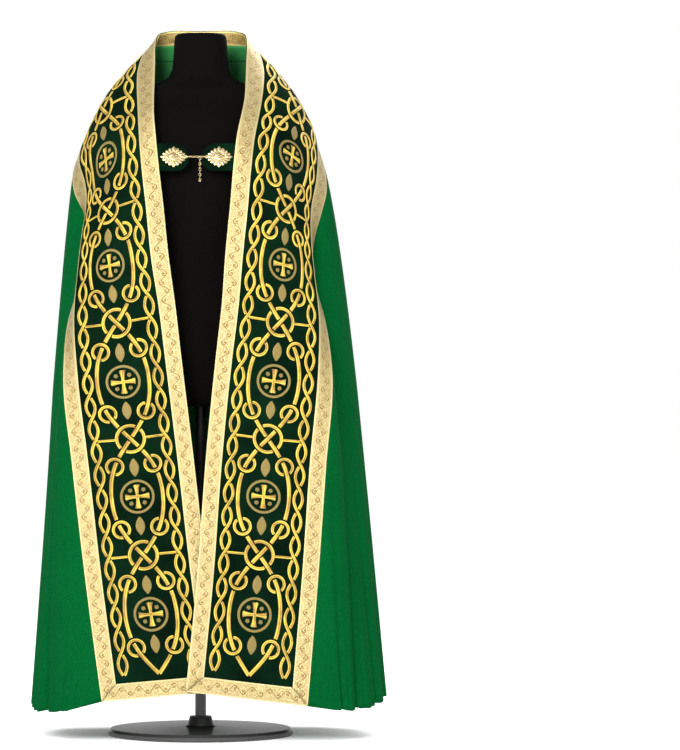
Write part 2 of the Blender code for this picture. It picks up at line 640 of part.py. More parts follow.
def build_clasp(velvet, gold):
    """Two velvet tabs with cast rosettes, the hooked bar that joins them and its short chain."""
    tabs = ((-1, "left", LEFT_TAB_END, LEFT_ROSETTE), (1, "right", RIGHT_TAB_END, RIGHT_ROSETTE))
    tips = []
    for side, side_name, end, rosette in tabs:
        edge = INNER_EDGE.at(edge_at_height(side, CLASP_HEIGHT)).x
        reach = abs(end - edge)
        straight = reach - TAB_HALF_HEIGHT
        turns = [radians(angle) for angle in (0, 20, 38, 54, 68, 80)]
        columns = [(-TAB_TUCK, 1.0), (0.0, 1.0)]
        columns += [(straight + TAB_HALF_HEIGHT * sin(turn), cos(turn)) for turn in turns]

        def place(column, row):
            return on_tab(side, column[0], CLASP_HEIGHT + TAB_HALF_HEIGHT * row * column[1])

        cloth_panel("clasp_tab_" + side_name, columns, (-1.0, -0.33, 0.33, 1.0), place, TAB_LIFT,
                    TAB_WALL, velvet)
        centre, normal = on_tab(side, abs(rosette - edge), CLASP_HEIGHT)
        face = centre + normal * (TAB_LIFT + TAB_WALL + SEAM_GAP)
        build_rosette("rosette_" + side_name, face, normal, gold)
        tips.append(face + Vector((-side * (ROSETTE_WIDTH / 2 + SEAM_GAP), 0.0, 0.0)) + normal * 0.0014)
    build_rod("clasp_hook", tips[0], tips[1], 0.0012, gold)
    share = (CHAIN_PLACE - tips[0].x) / (tips[1].x - tips[0].x)
    top = tips[0].lerp(tips[1], share) - Vector((0.0, 0.0, 0.0012 + SEAM_GAP))
    build_rod("clasp_chain", top, top - Vector((0.0, 0.0, CHAIN_LENGTH)), 0.0012, gold)


ROSETTE_RINGS = ((1.0, 0.0), (1.0, 0.0012), (0.62, 0.0022), (0.30, 0.0034))
ROSETTE_SCALLOPS = 16


def build_rosette(name, face, normal, material):
    """A lozenge of scallops with a raised heart, as rings of (share of its size, height)."""
    across = normal.cross(Vector((0.0, 0.0, 1.0))).normalized()
    up = across.cross(normal).normalized()
    rings = []
    for share, height in ROSETTE_RINGS:
        points = []
        for step in range(2 * ROSETTE_SCALLOPS):
            turn = pi * step / ROSETTE_SCALLOPS
            lozenge = (abs(cos(turn)) ** 1.35 + abs(sin(turn)) ** 1.35) ** (-1 / 1.35)
            reach = lozenge * share * (1 - 0.05 * share * (step % 2))
            aside = across * (reach * cos(turn) * ROSETTE_WIDTH / 2)
            above = up * (reach * sin(turn) * ROSETTE_HEIGHT / 2)
            points.append(raise_to_floor(face) + aside + above + normal * height)
        rings.append(points)
    return loft(name, rings, material)


def build_rod(name, start, end, radius, material):
    """A straight round rod between two points."""
    mesh_data = bmesh.new()
    length = (end - start).length
    bmesh.ops.create_cone(mesh_data, cap_ends=True, segments=8, radius1=radius, radius2=radius, depth=length)
    turn = (end - start).to_track_quat("Z", "Y").to_matrix().to_4x4()
    middle = raise_to_floor((start + end) / 2)
    bmesh.ops.transform(mesh_data, matrix=turn, verts=mesh_data.verts)
    bmesh.ops.translate(mesh_data, vec=middle, verts=mesh_data.verts)
    return finish_object(name, mesh_data, material)


def turned(name, profile, material, segments=48):
    """A turned piece: its profile runs from the axis below to the axis above, as (radius, height)."""
    mesh_data = bmesh.new()
    verts = [mesh_data.verts.new((radius, 0.0, height)) for radius, height in profile]
    edges = [mesh_data.edges.new(pair) for pair in zip(verts, verts[1:])]
    bmesh.ops.spin(mesh_data, geom=verts + edges, axis=(0, 0, 1), cent=(0, 0, 0), angle=2 * pi,
                   steps=segments, use_merge=True)
    bmesh.ops.remove_doubles(mesh_data, verts=mesh_data.verts, dist=1e-6)
    return finish_object(name, mesh_data, material)


def wall_tree():
    """The inner sides of the draped walls, as a tree that rays can be cast against."""
    verts, faces = [], []
    for name in ("cope_body", "orphrey_left", "orphrey_right", "neck_lining"):
        mesh = bpy.data.objects[name].data
        offset = len(verts)
        verts += [vertex.co.copy() for vertex in mesh.vertices]
        faces += [[offset + index for index in polygon.vertices] for polygon in mesh.polygons]
    return BVHTree.FromPolygons(verts, faces)


def build_form(jersey, steel, wood):
    """The limbless form that carries the cope: the body, its pole and its round foot."""
    tree = wall_tree()
    rings = []
    for ring in FORM_RINGS:
        points = []
        for step in range(FORM_SEGMENTS):
            turn = 2 * pi * step / FORM_SEGMENTS
            power = 0.86
            x = ring.half_width * abs(cos(turn)) ** power * (1 if cos(turn) > 0 else -1)
            depth = ring.back if sin(turn) > 0 else ring.front
            y = depth * abs(sin(turn)) ** power * (1 if sin(turn) > 0 else -1)
            centre = raise_to_floor(Vector((0.0, 0.0, ring.height)))
            reach = Vector((x, y, 0.0))
            hit = tree.ray_cast(centre, reach.normalized())
            if hit[0] is not None:
                room = (hit[0] - centre).length - REST_GAP
                reach = reach.normalized() * min(reach.length, room)
            points.append(centre + reach)
        rings.append(points)
    loft("dress_form", rings, jersey)
    form_foot = FORM_RINGS[0].height + HEM_HEIGHT
    pole_foot = HUB_TOP + SEAM_GAP
    build_pole = [(0.0, pole_foot), (POLE_RADIUS, pole_foot), (POLE_RADIUS, form_foot - SEAM_GAP),
                  (0.0, form_foot - SEAM_GAP)]
    turned("stand_pole", build_pole, steel, segments=24)
    foot = [(0.0, 0.0), (BASE_RADIUS - 0.003, 0.0), (BASE_RADIUS, 0.003), (BASE_RADIUS, BASE_THICKNESS - 0.006),
            (BASE_RADIUS - 0.006, BASE_THICKNESS), (HUB_RADIUS + 0.006, BASE_THICKNESS + 0.003),
            (HUB_RADIUS, BASE_THICKNESS + 0.006), (HUB_RADIUS - 0.006, HUB_TOP), (0.0, HUB_TOP)]
    turned("stand_base", foot, wood)


def loft(name, rings, material):
    """A closed body through rings of points, from the lowest to the highest."""
    mesh_data = bmesh.new()
    bottom = [mesh_data.verts.new(point) for point in rings[0]]
    mesh_data.faces.new(bottom)
    edges = [mesh_data.edges.get(pair) for pair in zip(bottom, bottom[1:] + bottom[:1])]
    below = bottom
    for ring in rings[1:]:
        order = {tuple(vertex.co): index for index, vertex in enumerate(below)}
        made = bmesh.ops.extrude_edge_only(mesh_data, edges=edges)["geom"]
        raised = [item for item in made if isinstance(item, bmesh.types.BMVert)]
        edges = [item for item in made if isinstance(item, bmesh.types.BMEdge)]
        edges = [edge for edge in edges if all(vertex in raised for vertex in edge.verts)]
        below = sorted(raised, key=lambda vertex: order[tuple(vertex.co)])
        for vertex, point in zip(below, ring):
            vertex.co = point
    mesh_data.faces.new(below)
    return finish_object(name, mesh_data, material)


def main():
    for model in list(bpy.data.objects):
        bpy.data.objects.remove(model, do_unlink=True)
    green = make_material("green_gabardine", (0.004, 0.16, 0.05), 0.72)
    velvet = make_material("green_velvet", (0.002, 0.022, 0.011), 0.9)
    galloon = make_material("gold_galloon", (0.62, 0.50, 0.22), 0.55)
    fringe = make_material("gold_fringe", (0.48, 0.30, 0.09), 0.6)
    gold = make_material("gilt_metal", (0.80, 0.60, 0.28), 0.35, 1.0)
    jersey = make_material("black_jersey", (0.006, 0.006, 0.006), 0.85)
    steel = make_material("black_steel", (0.02, 0.02, 0.02), 0.4, 1.0)
    wood = make_material("black_wood", (0.015, 0.013, 0.012), 0.45)
    build_cloak(green)
    build_orphreys(velvet, galloon)
    build_neck(galloon, green)
    build_hood(velvet, galloon, fringe)
    build_clasp(velvet, gold)
    build_form(jersey, steel, wood)


main()
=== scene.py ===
import json
import random
from math import atan2, cos, hypot, pi, sin

import bmesh
import bpy
import numpy as np
from mathutils import Matrix, Vector

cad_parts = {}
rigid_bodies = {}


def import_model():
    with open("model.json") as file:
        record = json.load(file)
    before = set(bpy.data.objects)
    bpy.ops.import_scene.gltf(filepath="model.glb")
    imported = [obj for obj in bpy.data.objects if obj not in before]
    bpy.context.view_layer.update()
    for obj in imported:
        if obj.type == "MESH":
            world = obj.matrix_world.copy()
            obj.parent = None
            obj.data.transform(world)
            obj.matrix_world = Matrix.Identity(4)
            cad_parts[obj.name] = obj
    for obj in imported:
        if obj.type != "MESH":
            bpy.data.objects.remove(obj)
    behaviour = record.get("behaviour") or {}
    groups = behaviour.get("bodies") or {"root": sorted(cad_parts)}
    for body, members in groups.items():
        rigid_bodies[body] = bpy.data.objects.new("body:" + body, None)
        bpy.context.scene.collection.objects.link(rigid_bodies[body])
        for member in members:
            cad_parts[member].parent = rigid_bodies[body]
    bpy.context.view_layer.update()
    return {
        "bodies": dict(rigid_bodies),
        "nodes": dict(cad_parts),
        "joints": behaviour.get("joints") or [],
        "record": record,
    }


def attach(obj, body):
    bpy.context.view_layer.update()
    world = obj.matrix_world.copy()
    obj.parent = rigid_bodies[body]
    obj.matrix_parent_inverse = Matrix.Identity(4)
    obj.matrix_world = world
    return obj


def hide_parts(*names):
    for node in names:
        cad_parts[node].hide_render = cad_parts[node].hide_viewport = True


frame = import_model()
print("frame loaded")

# the drape is one sheet, from the same sections as the solids; its heights are above the hem
drape = {
    "hemHeight": 0.070,      # of the hem line above the floor
    "bandLength": 1.630,     # from the centre back to the hem
    "bandWidth": 0.265,
    "galloonWidth": 0.036,
    "bandMiddle": 0.115,     # where the sections give the middle of the velvet
    "seamGap": 0.0003,
    "cloth": 0.0020,
    "backLength": 1.275,     # the centre back from the band to the hem
    "axisY": 0.03,           # folds stand out from this axis
    "foldLift": 0.35,        # how far a fold lowers the hem, for its depth
    "softness": 0.0016,      # height of the waves in the velvet
    "waves": ((9.1, 14.0, 0.0), (17.3, -9.0, 1.1)),   # each one's turns along, across and its start
    "crease": 1.6, "creaseAt": (0.53, 0.175), "creaseSize": (0.07, 0.022),
    "bandBlend": 0.012, "cloakBlend": 0.015,   # where their outward sides turn into each other
}
outerSeam = drape["bandWidth"] - drape["galloonWidth"]
sides = ((-1, "left"), (1, "right"))

# in mm: along, then x, y, z of the inner edge, of the middle, of the outer seam and of the outer edge
neckSections = [
    (0, 0, 88, 1502, 0, 150, 1410, 0, 228, 1328, 0, 245, 1296),
    (80, 80, 83, 1500, 82, 146, 1410, 80, 222, 1325, 80, 239, 1293),
    (115, 98.5, 60, 1490, 122, 134, 1412, 117, 205, 1318, 113, 228, 1290),
    (144, 101.5, 37, 1470, 155, 109, 1409, 150, 186, 1314, 143, 211, 1285),
    (206, 101, -3, 1420, 196, 56, 1378, 206, 146, 1300, 200, 174, 1273),
    (262, 100.5, -40, 1376, 206, 8, 1343, 248, 95, 1280, 243, 123, 1256),
]
leftSections = [
    (313, 100.3, -73, 1339, 204, -28, 1298, 266, 50, 1246, 271, 78, 1226),
    (360, 99, -100, 1304, 201, -60, 1262, 270, 12, 1205, 285, 38, 1186),
    (410, 94.5, -122, 1259, 196, -90, 1212, 254, -22, 1155, 282, -3, 1142),
    (480, 87, -140, 1188, 190, -134, 1146, 250, -70, 1100, 257, -36, 1088),
    (560, 77, -148, 1107, 185, -155, 1077, 257, -94, 1045, 246, -60, 1035),
    (670, 65.5, -156, 997, 178, -158, 972, 266, -120, 955, 257, -86, 948),
    (780, 50.4, -164, 888, 164, -163, 866, 272, -144, 852, 287, -112, 848),
    (900, 36, -173, 768, 149, -175, 746, 264, -156, 737, 296, -139, 733),
    (1110, 10, -190, 560, 123, -194, 545, 238, -188, 535, 274, -183, 532),
    (1370, -21, -209, 302, 93.6, -206.8, 290.7, 207.1, -204.7, 279.5, 243, -204, 276),
    (1630, -57, -231, 44, 57.6, -229.3, 34, 171.1, -227.5, 24.1, 207, -227, 21),
]
rightSections = [
    (313, 99, -73, 1339, 201, -29, 1298, 258, 51, 1246, 264, 78, 1227),
    (360, 93, -100, 1304, 197, -60, 1262, 260, 13, 1206, 276, 37, 1187),
    (410, 84, -122, 1259, 192, -78, 1222, 256, -18, 1160, 280, 2, 1142),
    (480, 76.5, -140, 1188, 185, -122, 1155, 246, -57, 1104, 269, -32, 1090),
    (560, 70, -149, 1107, 180, -152, 1080, 245, -91, 1045, 254, -58, 1032),
    (670, 59.5, -158, 997, 172, -160, 974, 253, -119, 957, 250, -84, 950),
    (780, 52, -167, 888, 165, -168, 868, 264, -143, 855, 277, -111, 850),
    (900, 39, -179, 768, 152, -182, 748, 262, -166, 738, 293, -149, 734),
    (1110, 19, -200, 560, 132, -204, 545, 244, -199, 535, 280, -193, 532),
    (1370, 0.5, -221, 302, 114, -217.5, 291.1, 226.5, -214.1, 280.4, 262, -213, 277),
    (1630, -24, -244, 44, 90.6, -241, 30.1, 204.1, -238, 16.3, 240, -237, 12),
]

# in mm: along the band, then x, y, z where that column of the green cloth meets the hem, and its bulge
falls = [
    (-1630, -285, -200, -1, 0),
    (-1200, -303, -188, -4, 3),
    (-900, -326, -164, -6, 6),
    (-700, -347, -130, -4, 16),
    (-540, -364, -88, 2, 20),
    (-410, -376, -35, 7, 8),
    (-320, -374, 50, 12, 6),
    (-240, -335, 142, 16, 8),
    (-160, -255, 225, 20, 10),
    (-80, -135, 282, 24, 10),
    (0, 0, 300, 26, 10),
    (80, 135, 283, 25, 10),
    (160, 262, 230, 25, 10),
    (240, 356, 148, 26, 12),
    (320, 406, 52, 26, 15),
    (410, 414, -35, 22, 15),
    (540, 393, -92, 12, 22),
    (700, 366, -143, 2, 14),
    (900, 338, -177, -1, 6),
    (1200, 316, -198, 0, 3),
    (1630, 298, -211, 2, 0),
]

# along, half width, depth, where down the cloth it starts, lean; the last ones are the finer creases
folds = [
    (-0.62, 0.16, 0.010, 0.35, 0.02),
    (-0.38, 0.08, -0.020, 0.40, 0.02),
    (-0.235, 0.10, 0.034, 0.42, 0.00),
    (-0.105, 0.07, -0.030, 0.46, -0.01),
    (-0.010, 0.07, 0.024, 0.46, 0.01),
    (0.085, 0.07, -0.026, 0.46, 0.01),
    (0.200, 0.10, 0.028, 0.42, 0.00),
    (0.345, 0.08, -0.018, 0.40, -0.01),
    (0.56, 0.15, 0.010, 0.35, -0.02),
    (-1.25, 0.13, -0.004, 0.10, 0.08),
    (-0.83, 0.055, -0.013, 0.06, 0.04),
    (-0.73, 0.05, 0.007, 0.10, 0.04),
    (-0.60, 0.04, -0.007, 0.12, 0.03),
    (-0.52, 0.04, -0.005, 0.20, 0.03),
    (-0.31, 0.03, 0.006, 0.55, 0.00),
    (-0.17, 0.03, -0.005, 0.62, 0.01),
    (0.045, 0.03, -0.004, 0.60, 0.01),
    (0.150, 0.03, 0.005, 0.58, 0.00),
    (0.270, 0.03, -0.006, 0.50, -0.01),
    (0.47, 0.04, -0.006, 0.18, -0.03),
    (0.58, 0.04, -0.008, 0.10, -0.03),
    (0.68, 0.05, 0.006, 0.10, -0.04),
    (0.80, 0.055, -0.011, 0.05, -0.05),
    (0.93, 0.06, 0.004, 0.05, -0.06),
    (1.14, 0.12, -0.007, 0.05, -0.08),
]


class Curve:  # one smooth curve through the rows of a table in mm; the first value of a row is its place
    def __init__(self, rows):
        table = np.array(rows, dtype=float) / 1000
        self.places, self.values = table[:, 0], table[:, 1:]
        steps = np.diff(self.places)[:, None]
        slopes = np.diff(self.values, axis=0) / steps
        inside = (slopes[:-1] * steps[1:] + slopes[1:] * steps[:-1]) / (steps[1:] + steps[:-1])
        self.tangents = np.vstack([slopes[:1], inside, slopes[-1:]])

    def at(self, place):
        place = np.clip(np.asarray(place, dtype=float), self.places[0], self.places[-1])
        row = np.clip(np.searchsorted(self.places, place, side="right") - 1, 0, len(self.places) - 2)
        step = (self.places[row + 1] - self.places[row])[..., None]
        t = (place - self.places[row])[..., None] / step
        rise = 3 * t**2 - 2 * t**3
        value = (1 - rise) * self.values[row] + rise * self.values[row + 1]
        value = value + (t**3 - 2 * t**2 + t) * step * self.tangents[row]
        return value + (t**3 - t**2) * step * self.tangents[row + 1]


def bothSides(first):  # one line of the sections, from the left foot over the neck to the right foot
    left, right = [np.array(neckSections + rows)[:, [0, first, first + 1, first + 2]]
                   for rows in (leftSections, rightSections)]
    return np.vstack([left[:0:-1] * (-1, -1, 1, 1), right])


innerEdge, velvetMiddle, seamLine, outerEdge = [Curve(bothSides(first)) for first in (1, 4, 7, 10)]
fallLine = Curve([row[:4] for row in falls])
fallBulge = Curve([(row[0], row[4]) for row in falls])


def unit(vectors):
    return vectors / np.linalg.norm(vectors, axis=-1, keepdims=True)


def smoothStep(value):
    value = np.clip(value, 0.0, 1.0)
    return value * value * (3 - 2 * value)


def awayFromAxis(points):
    out = points - np.array((0.0, drape["axisY"], 0.0))
    out[..., 2] = 0.0
    return unit(out)


def bandSoftness(along, across):  # low soft waves and a crease in the velvet, none along its edges
    (creaseAlong, creaseAcross), (length, width) = drape["creaseAt"], drape["creaseSize"]
    inside = np.sin(pi * np.clip(across / drape["bandWidth"], 0, 1)) ** 2
    waves = sum(0.5 * np.sin(run * along + way * across + start) for run, way, start in drape["waves"])
    crease = np.exp(-((along - creaseAlong) / length) ** 2 - ((across - creaseAcross) / width) ** 2)
    return drape["softness"] * inside * (waves - drape["crease"] * crease)


def bandPoint(along, across):
    across = np.asarray(across, dtype=float)[..., None]
    inner, middle = innerEdge.at(along), velvetMiddle.at(along)
    seam, outer = seamLine.at(along), outerEdge.at(along)
    toMiddle, toSeam = across / drape["bandMiddle"], across / outerSeam
    ratio = outerSeam / drape["bandMiddle"]
    velvet = inner * (1 - toMiddle) * (1 - toSeam) + middle * toMiddle * (1 - toSeam) / (1 - 1 / ratio)
    velvet = velvet + seam * toSeam * (toMiddle - 1) / (ratio - 1)
    tape = seam + (outer - seam) * (across - outerSeam) / drape["galloonWidth"]
    point = np.where(across > outerSeam, tape, velvet)
    return point + awayFromAxis(point) * bandSoftness(along, across[..., 0])[..., None]


def smoothCloak(along, drop):
    drop = np.asarray(drop, dtype=float)[..., None]
    top, foot = outerEdge.at(along), fallLine.at(along)
    point = top + (foot - top) * drop
    return point + awayFromAxis(point) * fallBulge.at(along) * np.sin(pi * np.clip(drop, 0, 1) ** 0.6)


def cloakPoint(along, drop):
    height = np.zeros_like(along)
    for place, width, depth, start, lean in folds:
        grown = np.clip((drop - start) / (1 - start), 0, 1)
        off = np.abs(along - place - lean * (1 - drop)) / width
        height = height + depth * grown**1.2 * np.where(off < 1, np.cos(off * pi / 2) ** 2, 0)
    point = smoothCloak(along, drop)
    point = point + awayFromAxis(point) * height[..., None]
    point[..., 2] -= drape["foldLift"] * height * drop
    return point


def normalOf(surface, along, second, step, limit):  # limit is the most that the second value may be
    before, after = np.clip([along - step, along + step], -drape["bandLength"], drape["bandLength"])
    above, below = np.clip([second - step, second + step], 0.0, limit)
    return unit(np.cross(surface(after, second) - surface(before, second),
                         surface(along, below) - surface(along, above)))


def bandNormal(along, across):
    return normalOf(bandPoint, along, across, 0.003, drape["bandWidth"])


def cloakNormal(surface, along, drop):
    return normalOf(surface, along, drop, 0.004, 1.0)


def onBand(along, across):  # points and outward normals of the band
    along, across = np.asarray(along, dtype=float), np.asarray(across, dtype=float)
    beside = cloakNormal(cloakPoint, along, np.zeros_like(along))
    share = smoothStep((across - drape["bandWidth"] + drape["bandBlend"]) / drape["bandBlend"])[..., None]
    return bandPoint(along, across), unit(bandNormal(along, across) + beside * share)


def onCloak(along, drop):
    beside = bandNormal(along, np.full_like(along, drape["bandWidth"]))
    share = (1 - smoothStep(drop / drape["cloakBlend"]))[..., None]
    return cloakPoint(along, drop), unit(cloakNormal(cloakPoint, along, drop) + beside * share)


def onFloor(points):
    return points + np.array((0.0, 0.0, drape["hemHeight"]))


# making pieces
pieces = {}


def newPiece(name, node, meshData, materials):
    mesh = bpy.data.meshes.new(name)
    meshData.to_mesh(mesh)
    meshData.free()
    for material in materials:
        mesh.materials.append(material)
    mesh.shade_smooth()
    piece = bpy.data.objects.new(name, mesh)
    bpy.context.scene.collection.objects.link(piece)
    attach(piece, "root")
    if node:
        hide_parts(node)
    pieces[name] = piece
    return piece


def newGrid(meshData, columnCount, rowCount):  # its vertices, and the column and row of each
    made = bmesh.ops.create_grid(meshData, x_segments=columnCount, y_segments=rowCount, size=0.5)["verts"]
    spots = np.array([vertex.co[:2] for vertex in made])
    column, row = np.rint((spots + 0.5) * (columnCount, rowCount)).astype(int).T
    return made, column, row


def settle(meshData, made, points, across=None, down=None):  # moves a grid; its flat place is its UV
    for vertex, point in zip(made, points):
        vertex.co = point
    if across is None:
        return
    uvLayer = meshData.loops.layers.uv.get("cloth") or meshData.loops.layers.uv.new("cloth")
    for vertex, u, v in zip(made, across, down):
        for loop in vertex.link_loops:
            loop[uvLayer].uv = (u, v)


def layGrid(meshData, columns, rows, place, flat=None):
    # a grid of cloth laid where place(column, row) says; flat(column, row) gives its UV, in metres
    made, column, row = newGrid(meshData, len(columns) - 1, len(rows) - 1)
    across, down = flat(columns[column], rows[row]) if flat else (columns[column], rows[row])
    settle(meshData, made, place(columns[column], rows[row]), across, down)
    return made


def sealTube(meshData, made):  # merges a doubled seam or pole and fills what is open
    bmesh.ops.remove_doubles(meshData, verts=made, dist=1e-6)
    ends = {edge for vertex in made if vertex.is_valid for edge in vertex.link_edges if edge.is_boundary}
    if ends:
        bmesh.ops.holes_fill(meshData, edges=list(ends), sides=0)


def faceOutwards(meshData, index, normal):  # turns the whole sheet if this face looks inwards
    meshData.normal_update()
    meshData.faces.ensure_lookup_table()
    if meshData.faces[index].normal.dot(Vector(normal)) < 0:
        bmesh.ops.reverse_faces(meshData, faces=meshData.faces)


def clothPiece(name, node, columns, rows, surface, lift, thickness, materials, flat=None):
    # a sheet whose outer side stands off the drape by lift, with its wall behind it
    meshData = bmesh.new()

    def place(column, row):
        point, normal = surface(column, row)
        height = lift(column, row)[..., None] if callable(lift) else lift
        return onFloor(point) + normal * height

    layGrid(meshData, columns, rows, place, flat)
    column, row = len(columns) // 2, len(rows) // 2
    normal = surface(columns[column:column + 1], rows[row:row + 1])[1][0]
    faceOutwards(meshData, row * (len(columns) - 1) + column, normal)
    bmesh.ops.remove_doubles(meshData, verts=meshData.verts, dist=1e-6)   # a mitre's end
    piece = newPiece(name, node, meshData, materials)
    wall = piece.modifiers.new("wall", "SOLIDIFY")
    wall.thickness = thickness
    wall.offset = -1
    wall.material_offset = len(materials) - 1
    wall.material_offset_rim = 0
    return piece


# materials
class Wire:  # wraps a socket, so that shader maths reads as ordinary expressions
    def __init__(self, finish, socket):
        self.finish, self.socket = finish, socket

    def maths(self, operation, *values):
        return self.finish.maths(operation, self, *values)

    def __add__(self, other):
        return self.maths("ADD", other)

    __radd__ = __add__

    def __mul__(self, other):
        return self.maths("MULTIPLY", other)

    __rmul__ = __mul__

    def __sub__(self, other):
        return self.maths("SUBTRACT", other)

    def __rsub__(self, other):
        return self.finish.maths("SUBTRACT", other, self)

    def __truediv__(self, other):
        return self.maths("DIVIDE", other)

    def __pow__(self, other):
        return self.maths("POWER", other)

    def __abs__(self):
        return self.maths("ABSOLUTE")

    def fraction(self):
        return self.maths("FRACT")

    def sine(self):
        return self.maths("SINE")

    def below(self, other):
        return self.maths("LESS_THAN", other)

    def fade(self, start, end):  # 0 at start, 1 at end, smooth between
        sockets = {"Value": self, "From Min": start, "From Max": end}
        return self.finish.node("ShaderNodeMapRange", {"interpolation_type": "SMOOTHSTEP"}, sockets)


class Finish:  # one material and its nodes
    def __init__(self, name, **constants):
        self.material = bpy.data.materials.new(name)
        self.material.use_nodes = True
        self.tree = self.material.node_tree
        self.shader = self.tree.nodes["Principled BSDF"]
        for socket, value in constants.items():
            self.shader.inputs[socket.replace("_", " ")].default_value = value

    def node(self, kind, settings=None, sockets=None, output=0):
        made = self.tree.nodes.new(kind)
        for name, value in (settings or {}).items():
            setattr(made, name, value)
        for key, value in (sockets or {}).items():
            if isinstance(value, Wire):
                self.tree.links.new(value.socket, made.inputs[key])
            else:
                made.inputs[key].default_value = value
        return Wire(self, made.outputs[output])

    def maths(self, operation, *values):
        return self.node("ShaderNodeMath", {"operation": operation}, dict(enumerate(values)))

    def feed(self, socket, wire):
        self.tree.links.new(wire.socket, self.shader.inputs[socket])

    def place(self):
        return self.node("ShaderNodeTexCoord", output="Object")

    def firstTwo(self, vector):
        parts = self.node("ShaderNodeSeparateXYZ", sockets={0: vector})
        return parts, Wire(self, parts.socket.node.outputs[1])

    def cloth(self):  # the piece's flat place, as two numbers in metres
        return self.firstTwo(self.node("ShaderNodeUVMap", {"uv_map": "cloth"}))

    def ripple(self, value):  # a wave from 0 to 1
        return value.sine() * 0.5 + 0.5

    def noise(self, scale, detail=2.0, roughness=0.5):
        sockets = {"Vector": self.place(), "Scale": scale, "Detail": detail, "Roughness": roughness}
        return self.node("ShaderNodeTexNoise", sockets=sockets)

    def mix(self, factor, first, second):
        return self.node("ShaderNodeMix", {"data_type": "RGBA"}, {0: factor, 6: first, 7: second}, output=2)

    def tint(self, factor, first, second):
        self.feed("Base Color", self.mix(factor, first, second))

    def bump(self, height, distance, strength=1.0):
        sockets = {"Height": height, "Distance": distance, "Strength": strength}
        self.feed("Normal", self.node("ShaderNodeBump", sockets=sockets))


def colour(red, green, blue):
    return (red, green, blue, 1.0)


def makeGreenCloth():
    look = {"light": colour(0.0004, 0.073, 0.0160), "dark": colour(0.0002, 0.033, 0.0065), "twill": 1100.0}
    finish = Finish("greenGabardine", Roughness=0.75, Sheen_Weight=0.02, Sheen_Roughness=0.4,
                    Sheen_Tint=colour(0.1, 0.8, 0.35), Specular_IOR_Level=0.01)
    u, v = finish.cloth()
    twill = finish.ripple((u + v) * (2 * pi * look["twill"]))
    slub = finish.noise(7.0, 3.0)
    grain = finish.noise(240.0, 3.0, 0.6).fade(0.32, 0.68)
    finish.tint(slub * 0.36 + grain * 0.34 + twill * 0.14 + 0.12, look["dark"], look["light"])
    finish.bump(twill * 0.3 + grain * 0.7, 0.00035, 0.6)
    return finish.material


def makeLining(name, light, dark):
    look = {"seam": colour(0.002, 0.020, 0.006), "seamAt": 0.078}   # metres down the cloth
    finish = Finish(name, Roughness=0.5, Sheen_Weight=0.04, Specular_IOR_Level=0.15)
    down = finish.cloth()[1]
    seam = 1 - abs(down - look["seamAt"]).fade(0.0005, 0.0020)
    slub = finish.noise(18.0, 3.0)
    finish.tint(seam * 0.75, finish.mix(slub, dark, light), look["seam"])
    finish.bump(finish.noise(40.0, 3.0) * 0.5 - seam, 0.0012, 0.6)
    return finish.material


def makeVelvet():
    look = {"light": colour(0.0012, 0.0115, 0.0042), "dark": colour(0.0002, 0.0022, 0.0009)}
    finish = Finish("darkVelvet", Sheen_Weight=0.030, Sheen_Roughness=0.35,
                    Sheen_Tint=colour(0.05, 0.50, 0.18), Specular_IOR_Level=0.02)
    nap = finish.noise(9.0, 4.0, 0.6)
    pile = finish.noise(700.0, 2.0, 0.6)
    finish.tint(nap.fade(0.3, 0.75) * 0.7 + pile * 0.3, look["dark"], look["light"])
    finish.feed("Roughness", 0.72 + pile * 0.25)
    finish.bump(pile + nap * 0.4, 0.0006, 0.6)
    return finish.material


def makeGalloon(name, pale, deep, centre):
    # woven metal-thread tape: plain shining edges and a running scroll down its middle
    look = {
        "repeat": 0.0190, "curl": 0.0062, "line": 0.0010, "wave": 0.0090, "aside": 0.0030, "weft": 1300.0,
        "middle": (0.0128, 0.0142), "border": 0.0138, "selvedge": (0.0152, 0.0160),
    }
    finish = Finish(name, Metallic=0.55, Specular_IOR_Level=0.6)
    u, v = finish.cloth()
    aside = v - centre
    step = (u / look["repeat"]).fraction() - 0.5
    alternate = (u / (2 * look["repeat"])).fraction().below(0.5) * 2 - 1
    across = aside - alternate * look["aside"]
    run = step * look["repeat"]
    reach = (run * run + across * across) ** 0.5
    turn = (across * alternate).maths("ARCTAN2", run) / (2 * pi) + 0.5
    spiral = turn * (look["curl"] * 0.66) + look["curl"] * 0.34
    curl = 1 - abs(reach - spiral).fade(look["line"] * 0.4, look["line"])
    heart = 1 - reach.fade(look["line"], look["line"] * 1.8)
    stem = aside - (u * (pi / look["repeat"])).sine() * look["wave"]
    vine = 1 - abs(stem).fade(look["line"] * 0.4, look["line"] * 1.2)
    scroll = curl.maths("MAXIMUM", heart).maths("MAXIMUM", vine)
    border = 1 - abs(abs(aside) - look["border"]).fade(0.0002, 0.0008)
    selvedge = abs(aside).fade(*look["selvedge"])
    weave = (u * (2 * pi * look["weft"])).sine() * (v * (2 * pi * look["weft"])).sine()
    glint = finish.noise(900.0, 2.0, 0.7)
    speckle = finish.noise(330.0, 2.0, 0.6).fade(0.38, 0.62)
    middle = 1 - abs(aside).fade(*look["middle"])
    shade = middle * (0.20 + speckle * 0.34 + scroll * 0.56) + border * 0.25 + finish.noise(38.0) * 0.20
    finish.tint(shade + glint.fade(0.42, 0.72) * 0.12, pale, deep)
    finish.feed("Roughness", 0.44 - glint * 0.22 + scroll * 0.1)
    finish.bump(scroll * 0.8 + border * 0.6 + selvedge * 0.7 + weave * 0.12 + speckle * 0.5, 0.0006, 0.9)
    return finish.material


